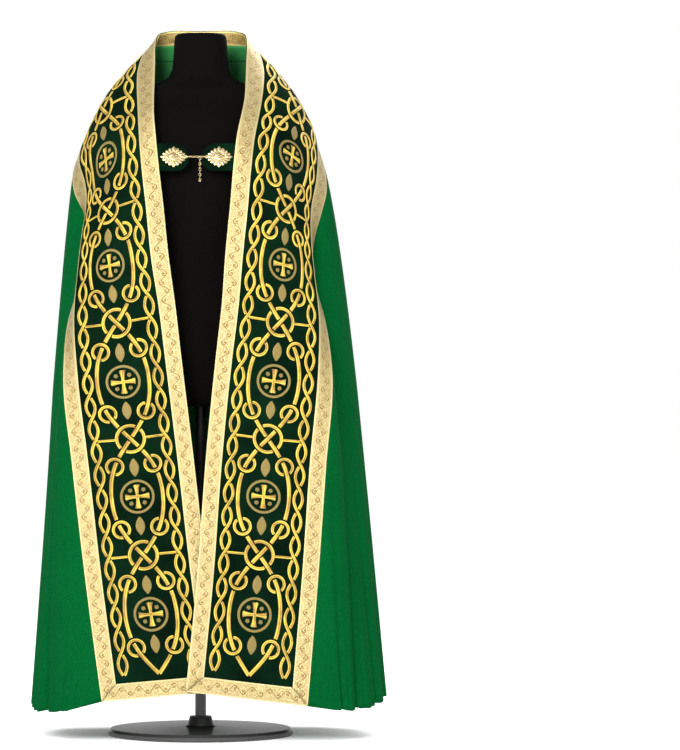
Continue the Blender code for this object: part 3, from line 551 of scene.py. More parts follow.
def makeThread():
    # satin stitch: threads lie side by side across the strap, a little slanted, in two plies
    look = {"bright": colour(0.74, 0.55, 0.055), "deep": colour(0.15, 0.060, 0.003),
            "pitch": 0.0006, "bundle": 5.5, "slant": 0.55}
    finish = Finish("goldSatinStitch", Metallic=0.30, Specular_IOR_Level=0.7)
    u, v = finish.cloth()
    slanted = u + abs(v) * look["slant"]
    thread = finish.ripple(slanted * (2 * pi / look["pitch"]))
    coarse = finish.ripple(slanted * (2 * pi / (look["pitch"] * look["bundle"])))
    # groove marks the dip between the two plies; in the colour it is painted shade
    groove = 1 - abs(v).fade(0.0001, 0.0010)
    # darker patches along the straps: painted variation of the threads' reflection
    reflectionPatches = finish.noise(35.0).fade(0.40, 0.66)
    # one ply painted darker than the other: painted shade
    lower = v.fade(-0.0003, 0.0003) * 0.26
    # the strap's edges painted darker: painted shade where the strap meets the velvet
    rim = abs(v).fade(0.0022, 0.0046) * 0.45
    # in this mix the thread lines are the stitch's texture; the groove, the darker ply, the edges and the
    # patches are painted shade
    shade = groove * 0.55 + coarse * 0.26 + thread * 0.12 + reflectionPatches * 0.30 + lower + rim
    finish.tint(shade, look["bright"], look["deep"])
    finish.feed("Roughness", 0.34 + thread * 0.14 + groove * 0.2)
    finish.bump(thread * 0.5 + coarse * 0.7 - groove, 0.00045, 0.8)
    return finish.material


def makeFillStitch():
    # flat filling of short stitches in staggered rows, in dull gold with green showing through
    look = {"bright": colour(0.30, 0.20, 0.040), "deep": colour(0.030, 0.034, 0.010), "stitch": 0.0022}
    finish = Finish("bronzeFilling", Metallic=0.25)
    u, v = finish.cloth()
    row = v / look["stitch"] * 1.4
    stagger = row.maths("FLOOR") * 0.5
    mark = abs((u / look["stitch"] + stagger).fraction() - 0.5).fade(0.18, 0.42)
    line = abs(row.fraction() - 0.5).fade(0.22, 0.46)
    gap = mark.maths("MAXIMUM", line)
    finish.tint(gap * 0.85, look["bright"], look["deep"])
    finish.feed("Roughness", 0.42 + gap * 0.3)
    finish.bump(1 - gap, 0.0004, 0.8)
    return finish.material


def makeFringeThread():
    look = {"bright": colour(0.72, 0.52, 0.17), "deep": colour(0.22, 0.12, 0.022), "twist": 0.0026}
    finish = Finish("antiqueFringe", Metallic=0.35)
    u, v = finish.cloth()
    twist = finish.ripple((v / look["twist"] + u * 350.0) * (2 * pi))
    finish.tint(twist * 0.5 + finish.noise(120.0) * 0.6, look["bright"], look["deep"])
    finish.feed("Roughness", 0.38 + twist * 0.2)
    finish.bump(twist, 0.0004, 0.7)
    return finish.material


def makeGilt():
    look = {"bright": colour(0.43, 0.345, 0.185), "deep": colour(0.12, 0.075, 0.025)}
    finish = Finish("giltMetal", Metallic=1.0)
    worn = finish.noise(220.0, 3.0, 0.6)
    # darker in the hollows and lighter on the raised parts: painted shade and painted highlight on the
    # relief
    reliefShade = finish.node("ShaderNodeNewGeometry", output="Pointiness").fade(0.44, 0.52)
    finish.tint(reliefShade * 0.6 + worn * 0.4, look["deep"], look["bright"])
    finish.feed("Roughness", 0.36 - worn * 0.16)
    finish.bump(worn, 0.0003, 0.4)
    return finish.material


def makeJersey():
    look = {"light": colour(0.0024, 0.0021, 0.0018), "dark": colour(0.0008, 0.0007, 0.0006), "ribs": 160.0}
    finish = Finish("blackJersey", Roughness=0.85, Specular_IOR_Level=0.03)
    aside, back = finish.firstTwo(finish.place())
    rib = finish.ripple(aside.maths("ARCTAN2", back) * look["ribs"])
    mottle = finish.noise(320.0)
    finish.tint(mottle * 0.7 + rib * 0.2, look["dark"], look["light"])
    finish.bump(rib * 0.5 + mottle * 0.5, 0.0003, 0.5)
    return finish.material


def makeBlackPaint(name, roughness, grain):
    look = {"light": colour(0.022, 0.021, 0.020), "dark": colour(0.010, 0.010, 0.010)}
    finish = Finish(name, Coat_Weight=0.25, Coat_Roughness=0.2)
    streaks = finish.noise(grain, 4.0, 0.6)
    finish.tint(streaks, look["dark"], look["light"])
    finish.feed("Roughness", roughness + streaks * 0.12)
    finish.bump(streaks, 0.0002, 0.3)
    return finish.material


greenCloth = makeGreenCloth()
lining = makeLining("greenLining", colour(0.006, 0.130, 0.032), colour(0.003, 0.080, 0.020))
# painted light: the neck's lining is a lighter copy of the green lining, brightened where the neck opening
# lies in shade
litNeckLining = makeLining("neckLiningPaintedLight", colour(0.042, 0.270, 0.075), colour(0.024, 0.180, 0.046))
velvet = makeVelvet()
paleGold, deepGold = colour(0.450, 0.378, 0.180), colour(0.165, 0.100, 0.018)
halfTape = drape["galloonWidth"] / 2
tapes = {name: makeGalloon("galloon" + name, pale, deep, centre) for name, pale, deep, centre in (
    ("Inner", paleGold, deepGold, halfTape),
    ("Outer", paleGold, deepGold, drape["bandWidth"] - halfTape),
    ("Hem", paleGold, deepGold, drape["bandLength"] - halfTape),
    ("Back", paleGold, deepGold, 0.0),
    # painted light: the facing's tape is a much lighter copy of the gold galloon, brightened where it lies
    # in shade behind the neck
    ("Facing", colour(0.95, 0.72, 0.27), colour(0.24, 0.13, 0.020), halfTape),
    ("Hood", colour(0.40, 0.36, 0.25), colour(0.26, 0.20, 0.09), 0.05),   # its scroll lies off it
)}
brightThread = makeThread()
fillStitch = makeFillStitch()
fringeThread = makeFringeThread()
gilt = makeGilt()
jersey = makeJersey()
print("materials made")


# the green cloth and the velvet band
cut = {
    "chestColumns": 60, "chestEnd": 0.71, "shoulderColumns": 34, "shoulderEnd": 0.36, "backColumns": 52,
    "drops": 96, "crowding": 1.12, "firstDrop": 0.0003, "flare": 1.4,
    "stations": 182, "bandColumns": 26, "hemColumns": 34,
    "clothFlat": (2.50, 1.28), "clothArea": 1.75,
}
galloon = {
    "rows": np.array((0.0, 0.02, 0.07, 0.25, 0.5, 0.75, 0.93, 0.98, 1.0)),
    "stand": 0.0009, "crown": 0.0005, "round": 0.0022, "wall": 0.0008,
}


def flatCloak(along, drop):
    return along * (1 + cut["flare"] * drop), drop * drape["backLength"]


def makeCloak():
    front = np.linspace(-drape["bandLength"], -cut["chestEnd"], cut["chestColumns"], endpoint=False)
    shoulder = np.linspace(-cut["chestEnd"], -cut["shoulderEnd"], cut["shoulderColumns"], endpoint=False)
    left = np.concatenate([front, shoulder, np.linspace(-cut["shoulderEnd"], 0.0, cut["backColumns"])])
    drops = np.linspace(0.0, 1.0, cut["drops"]) ** cut["crowding"]
    clothPiece("greenCope", "cope_body", np.concatenate([left, -left[-2::-1]]), drops,
               lambda along, drop: onCloak(along, np.maximum(drop, cut["firstDrop"])), 0.0, drape["cloth"],
               [greenCloth, lining], flatCloak)


def crownAt(inside, stand=galloon["stand"], crown=galloon["crown"]):  # a tape is rounded at its edges
    return stand + crown * smoothStep(inside / galloon["round"])


def tapeCrown(start):
    def lift(along, across):
        return crownAt(np.minimum(across - start, start + drape["galloonWidth"] - across))
    return lift


def tapeRows(start):
    return start + drape["galloonWidth"] * galloon["rows"]


def makeBand(side, sideName):
    length, width, gap = drape["bandLength"], drape["bandWidth"], drape["seamGap"]

    def surface(along, across):
        return onBand(side * along, across)

    stations = np.linspace(gap, length, cut["stations"])
    clothPiece(sideName + "Orphrey", "orphrey_" + sideName, stations,
               np.linspace(0.0, width, cut["bandColumns"]), surface, 0.0, drape["cloth"], [velvet, lining])

    # the three galloons meet in mitres at the foot
    def innerPlace(along, across):
        return surface(np.minimum(along, length - across - gap), across)

    def outerPlace(along, across):
        return surface(np.minimum(along, length - (width - across) - gap), across)

    def hemPlace(across, up):
        return surface(up, np.clip(across, length - up + gap, width - (length - up) - gap))

    for kind, columns, start, place in (
            ("Inner", stations, 0.0, innerPlace), ("Outer", stations, outerSeam, outerPlace),
            ("Hem", np.linspace(0.0, width, cut["hemColumns"]), length - drape["galloonWidth"], hemPlace)):
        clothPiece(sideName + kind + "Galloon", kind.lower() + "_galloon_" + sideName,
                   columns, tapeRows(start), place, tapeCrown(start), galloon["wall"], [tapes[kind]])


makeCloak()
for side, sideName in sides:
    makeBand(side, sideName)
print("green cloth and velvet band made")

# inside and behind the neck
neck = {
    "facingReach": 0.150, "liningDepth": 0.165, "liningWidth": 0.129, "behind": 0.0023, "wall": 0.0008,
    "columns": 61, "liningRows": 24, "backRows": 40,
}


def makeNeck():
    tape, gap = drape["galloonWidth"], drape["seamGap"]
    around = np.linspace(-neck["facingReach"], neck["facingReach"], neck["columns"])
    depth = np.linspace(tape + gap, neck["liningDepth"], neck["liningRows"])
    # the collar facing takes the lighter copy of the galloon: painted light
    clothPiece("collarFacing", "collar_facing", around, tapeRows(0.0)[1:], onBand,
               -neck["behind"], neck["wall"], [tapes["Facing"]])
    # the neck lining takes the lighter copy of the lining: painted light
    clothPiece("neckLining", "neck_lining", around, depth, onBand,
               -neck["behind"], neck["wall"], [litNeckLining])
    crown = tapeCrown(-tape / 2)
    clothPiece("backGalloon", "back_galloon", tapeRows(-tape / 2),
               np.linspace(tape + gap, outerSeam - gap, neck["backRows"]), onBand,
               lambda aside, down: crown(down, aside), neck["wall"], [tapes["Back"]],
               lambda aside, down: (down, aside))


makeNeck()

# the hood
hood = {
    "halfWidth": 0.283, "drop": 0.480, "corner": 0.160, "area": 0.261, "galloon": 0.018, "wall": 0.0018,
    "liftTop": 0.0039, "liftEnd": 0.0080,   # of the hood's outer side above the green cloth
    "wave": 0.0008, "waveTurns": (21.0, 9.0), "stand": 0.0001, "crown": 0.0006,
    "galloonRows": np.array((0.0, 0.03, 0.12, 0.5, 0.88, 0.97, 1.0)),
    "columns": 61, "sideRows": 30, "cornerRows": 26, "edgeColumns": 220,
    "tableColumns": np.linspace(0.0, 0.60, 61), "tableDrops": np.linspace(0.0, 0.50, 41),
}
hoodSide = hood["drop"] - hood["corner"]
hoodArc = hood["corner"] * pi / 2
hoodFoot = 2 * (hood["halfWidth"] - hood["corner"])
hoodEdge = 2 * hoodSide + 2 * hoodArc + hoodFoot


def lengthsRound(side):  # how far round the cloak its columns lie from the centre back, at each drop
    lengths = []
    for drop in hood["tableDrops"]:
        points = smoothCloak(side * hood["tableColumns"], np.full_like(hood["tableColumns"], drop))
        steps = np.linalg.norm(np.diff(points, axis=0), axis=1)
        lengths.append(np.concatenate([[0.0], np.cumsum(steps)]))
    return np.array(lengths)


roundTables = {side: lengthsRound(side) for side, _ in sides}


def columnAt(distance, drop):  # which column of the cloak lies at a distance round it from the centre back
    found = np.zeros(len(distance))
    for index, (reach, level) in enumerate(zip(distance, drop)):
        side = -1 if reach < 0 else 1
        place = level / hood["tableDrops"][1]
        row = min(int(place), len(hood["tableDrops"]) - 2)
        lengths = roundTables[side][row] * (1 - place + row) + roundTables[side][row + 1] * (place - row)
        found[index] = side * np.interp(abs(reach), lengths, hood["tableColumns"])
    return found


def onHood(aside, down):  # the hood's outer side, by distance round from its centre and down from the band
    aside, down = np.asarray(aside, dtype=float), np.asarray(down, dtype=float)
    drop = np.maximum(down, drape["seamGap"]) / drape["backLength"]
    column = columnAt(aside, drop)
    normal = cloakNormal(smoothCloak, column, drop)
    share = np.clip(down / hood["drop"], 0, 1)
    lift = hood["liftTop"] + (hood["liftEnd"] - hood["liftTop"]) * share
    sideways, below = hood["waveTurns"]
    lift = lift + hood["wave"] * share * (1 + np.sin(aside * sideways + 1.0) * np.sin(down * below))
    return smoothCloak(column, drop) + normal * lift[..., None], normal


def hoodOutline(place, off):  # flat points off the hood's edge, from its upper left end round to the right
    place, off = np.broadcast_arrays(np.asarray(place, dtype=float), np.asarray(off, dtype=float))
    mirrored = place > hoodEdge / 2
    run = np.where(mirrored, hoodEdge - place, place)
    turn = np.clip((run - hoodSide) / hood["corner"], 0.0, pi / 2)
    along = np.maximum(run - hoodSide - hoodArc, 0.0)
    aside = -(hood["halfWidth"] - hood["corner"]) - (hood["corner"] + off) * np.cos(turn) + along
    down = np.minimum(run, hoodSide) + (hood["corner"] + off) * np.sin(turn)
    return np.where(mirrored, -aside, aside), down


def offHood(place, off):
    return onHood(*hoodOutline(place, off))


def makeHood():
    def flatPanel(across, place):
        aside, down = hoodOutline(place, 0.0)
        return -aside * across, down

    places = np.concatenate([np.linspace(0, hoodSide, hood["sideRows"], endpoint=False),
                             np.linspace(hoodSide, hoodSide + hoodArc, hood["cornerRows"])])
    clothPiece("velvetHood", "hood", np.linspace(-1, 1, hood["columns"]), places,
               lambda across, place: onHood(*flatPanel(across, place)), 0.0, hood["wall"], [velvet],
               flatPanel)
    width, gap = hood["galloon"], drape["seamGap"]

    def crown(place, off):
        return crownAt(np.minimum(off, width - off), hood["stand"], hood["crown"])

    clothPiece("hoodGalloon", "hood_galloon", np.linspace(0, hoodEdge, hood["edgeColumns"]),
               gap + (width - gap) * hood["galloonRows"], offHood, crown, hood["wall"], [tapes["Hood"]])


makeHood()
print("neck and hood made")

# the fringe: separate strands off a narrow braid
fringe = {
    "strands": 940, "length": 0.066, "radius": 0.00105, "spread": 0.50, "steps": 7, "sway": 0.0016,
    "drift": 0.10, "shortest": 0.955, "longest": 1.01, "tip": 0.45, "bow": 0.0010,
    "layers": 3, "lift": 0.0006, "lowest": 0.0022,   # strands lie in layers, from the lowest up
    "strip": 0.0040, "stripGap": 0.0007, "stripWall": 0.0012, "stripLow": 0.0006, "rib": 0.0009,
    "ribPitch": 0.0042, "stripColumns": 900, "stripRows": 5,
}


def makeFringe():
    chance = random.Random(7)
    meshData = bmesh.new()
    inner = hood["galloon"] + fringe["stripGap"]
    outer = inner + fringe["strip"]

    def braid(place, off):
        point, normal = offHood(place, off)
        rib = np.abs(np.sin(place * pi / fringe["ribPitch"]))
        rib = rib * np.sin(pi * np.clip((off - inner) / fringe["strip"], 0, 1))
        return onFloor(point) + normal * (fringe["rib"] * rib - fringe["stripLow"])[..., None]

    layGrid(meshData, np.linspace(0, hoodEdge, fringe["stripColumns"]),
            np.linspace(inner, outer, fringe["stripRows"]), braid)
    bmesh.ops.solidify(meshData, geom=meshData.faces[:], thickness=fringe["stripWall"])
    places = (np.arange(fringe["strands"]) + 0.5) / fringe["strands"] * hoodEdge
    roots = np.stack(hoodOutline(places, outer - fringe["stripWall"]), axis=1)
    leans = fringe["spread"] * unit(roots - np.stack(hoodOutline(places, 0.0), axis=1))
    for index, (root, lean) in enumerate(zip(roots, leans)):
        drift = chance.uniform(-fringe["drift"], fringe["drift"])
        length = fringe["length"] * chance.uniform(fringe["shortest"], fringe["longest"])
        heading = unit(np.array((lean[0] + drift, lean[1] + 1.0)))
        run = np.linspace(0.0, length, fringe["steps"] + 1)
        arch = np.sin(run / length * pi)
        bend = fringe["sway"] * chance.uniform(-1, 1) * arch
        point, normal = onHood(root[0] + heading[0] * run + heading[1] * bend,
                               root[1] + heading[1] * run - heading[0] * bend)
        lift = fringe["lift"] * (index % fringe["layers"]) - fringe["lowest"] - fringe["bow"] * arch
        growStrand(meshData, onFloor(point) + normal * lift[:, None], normal, index)
    bmesh.ops.recalc_face_normals(meshData, faces=meshData.faces)
    newPiece("hoodFringe", "hood_fringe", meshData, [fringeThread])


def growStrand(meshData, centre, normal, index):  # a four-sided cord drawn out along its points
    last = len(centre) - 1
    aside = unit(np.cross(unit(np.gradient(centre, axis=0)), normal))
    made, column, row = newGrid(meshData, 4, last)
    turn = (column * (pi / 2) + 0.4)[:, None]
    slim = (np.where(row == last, fringe["tip"], 1.0) * fringe["radius"])[:, None]
    place = centre[row] + aside[row] * (np.cos(turn) * slim) + normal[row] * (np.sin(turn) * slim)
    across = column * fringe["radius"] * 1.57 + index * 0.01   # every strand has its own stretch of the UV
    settle(meshData, made, place, across, row / last * fringe["length"])
    sealTube(meshData, made)


makeFringe()
print("fringe made")

# embroidery: plaited two-ply straps round small crosses, over the velvet
stitch = {
    "repeat": 0.26, "firstCentre": 0.15, "centres": 6, "middle": 0.1325,
    "eye": 0.056, "fullness": 0.22, "strap": 0.0046, "knot": 0.030, "knotStrap": 0.0038,
    "braidPlace": 0.0765, "braidWave": 0.0095, "braidEye": 0.052, "braid": 0.0034, "braidGap": 0.0050,
    "link": 0.0175, "linkPlace": 0.070, "linkStrap": 0.0034,
    "bar": 0.0028, "barEnds": (0.003, 0.004), "braidEnd": 0.002,   # clear of the knot and the braid
    "underGap": 0.0060, "height": 0.0015, "ring": (0.035, 0.0030), "step": 0.0032,
    "cross": (0.027, 0.0032, 0.0085), "dots": (0.0205, 0.0028, 0.0026), "leaf": (0.044, 0.086, 0.011),
    "sunk": 0.0003, "taper": 0.0012,
    "plies": ((-1.0, 0.0), (-0.74, 0.80), (-0.38, 1.0), (0.0, 0.60), (0.38, 1.0), (0.74, 0.80), (1.0, 0.0)),
}
hoodStitch = {
    "centre": 0.235, "lobed": ((0.116, 0.022, 8, 0.0048), (0.066, 0.017, 6, 0.0044)), "gap": 0.0066,
    "beads": 0.0026, "ring": (0.0400, 0.0034), "cross": (0.034, 0.0042, 0.0110),
    "dots": (0.026, 0.0034, 0.0030), "leaves": 16, "leaf": (0.146, 0.168, 0.0052),
}


class Stroke:  # one line of stitching on the flat: its points, half width at each and thread
    def __init__(self, points, half, thread=0, height=1.0):
        self.points = np.asarray(points, dtype=float)
        self.half = np.broadcast_to(half, len(self.points)).astype(float)
        self.thread = thread
        self.height = height


def samplesOf(length):
    return max(int(round(length / stitch["step"])), 3) + 1


def runAlong(points):
    return np.concatenate([[0.0], np.cumsum(np.linalg.norm(np.diff(points, axis=0), axis=1))])


def roundAbout(radius, turn, centre=(0.0, 0.0)):
    return np.stack([centre[0] + radius * np.cos(turn), centre[1] + radius * np.sin(turn)], axis=-1)


def strapRuns(path, first, last, half, cuts, gap):  # a strap with a break wherever it passes under another
    fine = np.linspace(first, last, 2400)
    run = runAlong(path(fine))
    marks = np.sort(np.interp(cuts, fine, run))
    strokes = []
    for start, end in zip([0.0, *(marks + gap)], [*(marks - gap), run[-1]]):
        if end - start > 2 * half:
            where = np.interp(np.linspace(start, end, samplesOf(end - start)), run, fine)
            strokes.append(Stroke(path(where), half))
    return strokes


def ringStroke(centre, radius, half, thread=0, cuts=(), gap=0.0):
    cuts = sorted(cuts) or [0.0]
    strokes = []
    for start, end in zip(cuts, cuts[1:] + [cuts[0] + 2 * pi]):
        first, last = start + gap / radius, end - gap / radius
        turns = np.linspace(first, last, samplesOf(radius * (last - first)))
        strokes.append(Stroke(roundAbout(radius, turns, centre), half, thread))
    return strokes


def crossStrokes(centre, arm, narrow, wide):  # four arms that widen to their ends
    run = np.linspace(0, 1, 9)
    half = (narrow + (wide - narrow) * run ** 2.2) * np.where(run > 0.99, 0.9, 1.0)
    arms = [Stroke(roundAbout(arm * run, quarter * pi / 2, centre), half, 0, 1.15) for quarter in range(4)]
    return arms + ringStroke(centre, narrow * 0.9, narrow * 0.9)


def dotStrokes(centre, reach, radius, half, thread):  # four small rings between the arms of a cross
    strokes = []
    for quarter in range(4):
        strokes += ringStroke(roundAbout(reach, (quarter + 0.5) * pi / 2, centre), radius, half, thread)
    return strokes


def leafStroke(start, end, width, thread=1):
    run = np.linspace(0, 1, samplesOf(hypot(end[0] - start[0], end[1] - start[1])))
    points = np.outer(1 - run, start) + np.outer(run, end)
    return Stroke(points, np.maximum(width * np.sin(pi * run) ** 0.8, 0.0006), thread, 0.8)


def passAt(path, middle, spot, radius, offsets):  # where a strap leaves a ring: its offset and place there
    reached = np.linalg.norm(path(middle + offsets) - spot, axis=1)
    offset = float(np.interp(radius, reached, offsets))
    return offset, path(np.array([middle + offset]))[0] - spot


def bandPattern():  # along the band and across from the velvet's middle, for a whole side
    repeat, first, gap = stitch["repeat"], stitch["firstCentre"], stitch["underGap"]
    centres = range(stitch["centres"])
    start, end = first - repeat / 2, first + repeat * (len(centres) - 0.5)
    crossings = [first + repeat * (index + 0.5) for index in centres[:-1]]

    def strand(side):
        def path(along):
            wave = pi * (along - first) / repeat
            reach = stitch["eye"] * np.cos(wave) * (1 + stitch["fullness"] * np.sin(wave) ** 2)
            return np.stack([along, side * reach], axis=-1)
        return path

    def braid(side, edge):
        def path(along):
            wave = pi * (along - first) / stitch["braidEye"]
            reach = stitch["braidPlace"] + side * stitch["braidWave"] * np.cos(wave)
            return np.stack([along, edge * reach], axis=-1)
        return path

    knotOffsets, linkOffsets = np.linspace(0.001, 0.05, 400), np.linspace(0.001, 0.04, 400)
    meet, meeting = passAt(strand(1), crossings[0], (crossings[0], 0.0), stitch["knot"], knotOffsets)
    slope = atan2(abs(meeting[1]), meet)
    strokes = []
    for side in (-1, 1):
        cuts = []
        for index, crossing in enumerate(crossings):
            onTop = (index % 2 == 0) == (side > 0)
            cuts += [crossing - meet, crossing + meet] if onTop else [crossing]
        for index in centres:
            leading = (index % 2 == 0) == (side < 0)   # it lay on top at the crossing before
            for lean in (-1, 1):
                middle = first + repeat * index + lean * stitch["linkPlace"]
                spot = strand(side)(np.array([middle]))[0]
                passes = [passAt(strand(side), middle, spot, stitch["link"], linkOffsets * way)
                          for way in (-1, 1)]
                under, over = passes[::-1] if leading else passes
                cuts.append(middle + under[0])
                angle = atan2(over[1][1], over[1][0]) % (2 * pi)
                strokes += ringStroke(spot, stitch["link"], stitch["linkStrap"], 0, [angle], gap)
        strokes += strapRuns(strand(side), start, end, stitch["strap"], cuts, gap)
    barStart, barEnd = stitch["barEnds"]
    for crossing in crossings:
        centre = (crossing, 0.0)
        strokes += ringStroke(centre, stitch["knot"], stitch["knotStrap"], 0, [slope, pi + slope], gap)
        for side in (-1, 1):
            reach = np.linspace(stitch["knot"] + barStart, stitch["braidPlace"] - barEnd, 10)
            strokes.append(Stroke(np.stack([np.full(10, crossing), side * reach], axis=-1), stitch["bar"]))
    for index in centres:
        centre = (first + repeat * index, 0.0)
        strokes += ringStroke(centre, *stitch["ring"], 1)
        strokes += crossStrokes(centre, *stitch["cross"])
        strokes += dotStrokes(centre, *stitch["dots"], 1)
        near, far, width = stitch["leaf"]
        for side in (-1, 1):
            if start < centre[0] + side * 0.1 < end:
                base, tip = [(centre[0] + side * reach, 0.0) for reach in (near, far)]
                strokes.append(leafStroke(base, tip, width))
    braidCrossings = np.arange(first - stitch["braidEye"] * 1.5, end - 0.01, stitch["braidEye"])
    for edge in (-1, 1):
        for side in (-1, 1):
            cuts = [spot for number, spot in enumerate(braidCrossings) if (number % 2 == 0) == (side > 0)]
            strokes += strapRuns(braid(side, edge), start + stitch["braidEnd"], end - stitch["braidEnd"],
                                 stitch["braid"], cuts, stitch["braidGap"])
    return strokes


def hoodPattern():  # aside from the hood's centre line and down from the pattern's centre
    strokes = []

    def lobed(radius, wave, lobes, shift):
        return lambda turn: roundAbout(radius + wave * np.cos(lobes * turn + shift), turn)

    for radius, wave, lobes, half in hoodStitch["lobed"]:
        crossings = [(number + 0.5) * pi / lobes for number in range(2 * lobes)]
        for shift in (0.0, pi):
            cuts = [turn for number, turn in enumerate(crossings) if (number % 2 == 0) == (shift == 0.0)]
            strokes += strapRuns(lobed(radius, wave, lobes, shift), cuts[0], cuts[0] + 2 * pi, half,
                                 cuts + [cuts[0] + 2 * pi], hoodStitch["gap"])
        for number in range(2 * lobes):
            centre = roundAbout(radius, number * pi / lobes)
            strokes += ringStroke(centre, wave * 0.28, hoodStitch["beads"], 1)
    strokes += ringStroke((0.0, 0.0), *hoodStitch["ring"], 1)
    strokes += crossStrokes((0.0, 0.0), *hoodStitch["cross"])
    strokes += dotStrokes((0.0, 0.0), *hoodStitch["dots"], 0)
    near, far, width = hoodStitch["leaf"]
    for number in range(hoodStitch["leaves"]):
        turn = (number + 0.5) * 2 * pi / hoodStitch["leaves"]
        strokes.append(leafStroke(roundAbout(near, turn), roundAbout(far, turn), width, number % 2))
    return strokes


def layStroke(meshData, stroke, place, serial):  # a low two-ply ridge along a stroke, shut at its ends
    points, plies = stroke.points, np.array(stitch["plies"])
    heading = unit(np.gradient(points, axis=0))
    aside = np.stack([-heading[:, 1], heading[:, 0]], axis=1)
    run = runAlong(points)
    closed = np.linalg.norm(points[0] - points[-1]) < 1e-5   # a whole ring
    if closed:
        taper = np.ones_like(run)
        aside[0] = aside[-1] = unit(aside[0] + aside[-1])
    else:
        taper = np.clip(np.minimum(run, run[-1] - run) / stitch["taper"], 0, 1)
    made, column, row = newGrid(meshData, len(plies) - 1, len(points) - 1)
    across = plies[column, 0] * stroke.half[row]
    spots = points[row] + aside[row] * across[:, None]
    lift = plies[column, 1] * taper[row] * stitch["height"] * stroke.height - stitch["sunk"]
    settle(meshData, made, place(spots[:, 0], spots[:, 1], lift), run[row] + serial * 0.0137, across)
    if stroke.thread:
        for face in {face for vertex in made for face in vertex.link_faces}:
            face.material_index = stroke.thread
    if closed:
        bmesh.ops.remove_doubles(meshData, verts=made, dist=1e-6)


def embroider(name, strokes, at):  # at(along, across) gives points of the velvet and their normals
    def place(along, across, lift):
        point, normal = at(along, across)
        return onFloor(point) + normal * lift[:, None]

    meshData = bmesh.new()
    for serial, stroke in enumerate(strokes):
        layStroke(meshData, stroke, place, serial)
    _, normal = at(*strokes[0].points[:1].T)
    faceOutwards(meshData, 2, normal[0])
    newPiece(name, None, meshData, [brightThread, fillStitch])


for side, sideName in sides:
    embroider(sideName + "Embroidery", bandPattern(),
              lambda along, across, side=side: onBand(side * along, stitch["middle"] + across))
embroider("hoodEmbroidery", hoodPattern(), lambda aside, down: onHood(aside, hoodStitch["centre"] + down))
print("embroidery made")

# the clasp: two velvet tabs, cast rosettes, a hook and a short chain
clasp = {
    "height": 1.2085, "tabHalf": 0.031, "tabTuck": 0.012, "tabEnds": (-0.021, 0.0063),
    "wall": 0.0025, "tabWall": 0.0021, "clearance": 0.0007, "roll": 0.0010,
    "tabSteps": 6, "tabRows": 17, "rollColumns": 12, "rollShare": 0.10,
    "turns": np.radians((8, 16, 24, 32, 40, 48, 55, 62, 68, 74, 79, 83)),   # round the tab's end
    "rosettePlaces": (-0.0546, 0.0448), "wire": 0.0009, "eye": 0.0040, "hookLift": 0.0014,
    "barReach": 1.5, "barBow": 0.0012, "barLift": 0.0008,   # the hook's two bars, from eye to eye
    "chainPlace": 0.003, "chainLength": 0.054, "links": 9, "linkWire": 0.0007, "linkHalf": 0.0021,
    "drop": 0.0020,          # radius of the bead that ends the chain
}
rosette = {
    "width": 0.059, "height": 0.047, "scallops": 16, "columns": 256, "rings": 34, "lozenge": 1.35,
    "notch": 0.13,           # how far the rim draws in between two scallops
    "leaf": (0.0006, 0.0015), "leafFall": 0.55, "leafFrom": 0.62, "rim": 0.0006, "base": 0.0005,
    "frame": 0.0022, "frameMiddle": 0.53, "frameHalf": 0.065, "frameEnd": 0.59,
    "flower": 0.0024, "flowerReach": 0.44, "flowerEnd": 0.465, "petals": 8, "petalDip": 0.28,
    "boss": (0.0014, 0.0030), "bossEnd": 0.13,
    "beadPlace": 0.66, "beadLift": 0.0024, "bead": 0.0009,
}
tabLift = -(drape["cloth"] + clasp["clearance"] + clasp["wall"])


def edgePlace(side, height):  # the signed place along the band where its inner edge is at a height
    low, high = 0.205, drape["bandLength"]
    for _ in range(40):
        middle = (low + high) / 2
        if innerEdge.at(side * middle)[2] > height:
            low = middle
        else:
            high = middle
    return side * low


def onTab(side, reach, height):  # behind the band where the reach is below zero, then straight across
    along = np.array([edgePlace(side, height)])
    edge, edgeNormal = (value[0] for value in onBand(along, np.zeros(1)))
    if reach <= 0:
        inside, insideNormal = (value[0] for value in onBand(along, np.full(1, drape["galloonWidth"])))
        share = -reach / drape["galloonWidth"]
        return edge + (inside - edge) * share, unit(edgeNormal + (insideNormal - edgeNormal) * share)
    rise = innerEdge.at(edgePlace(side, height + 0.01)) - edge
    normal = unit(np.cross((1.0, 0.0, 0.0), (0.0, rise[1], rise[2])))
    return edge - np.array((side * reach, 0.0, 0.0)), -normal if normal[1] > 0 else normal


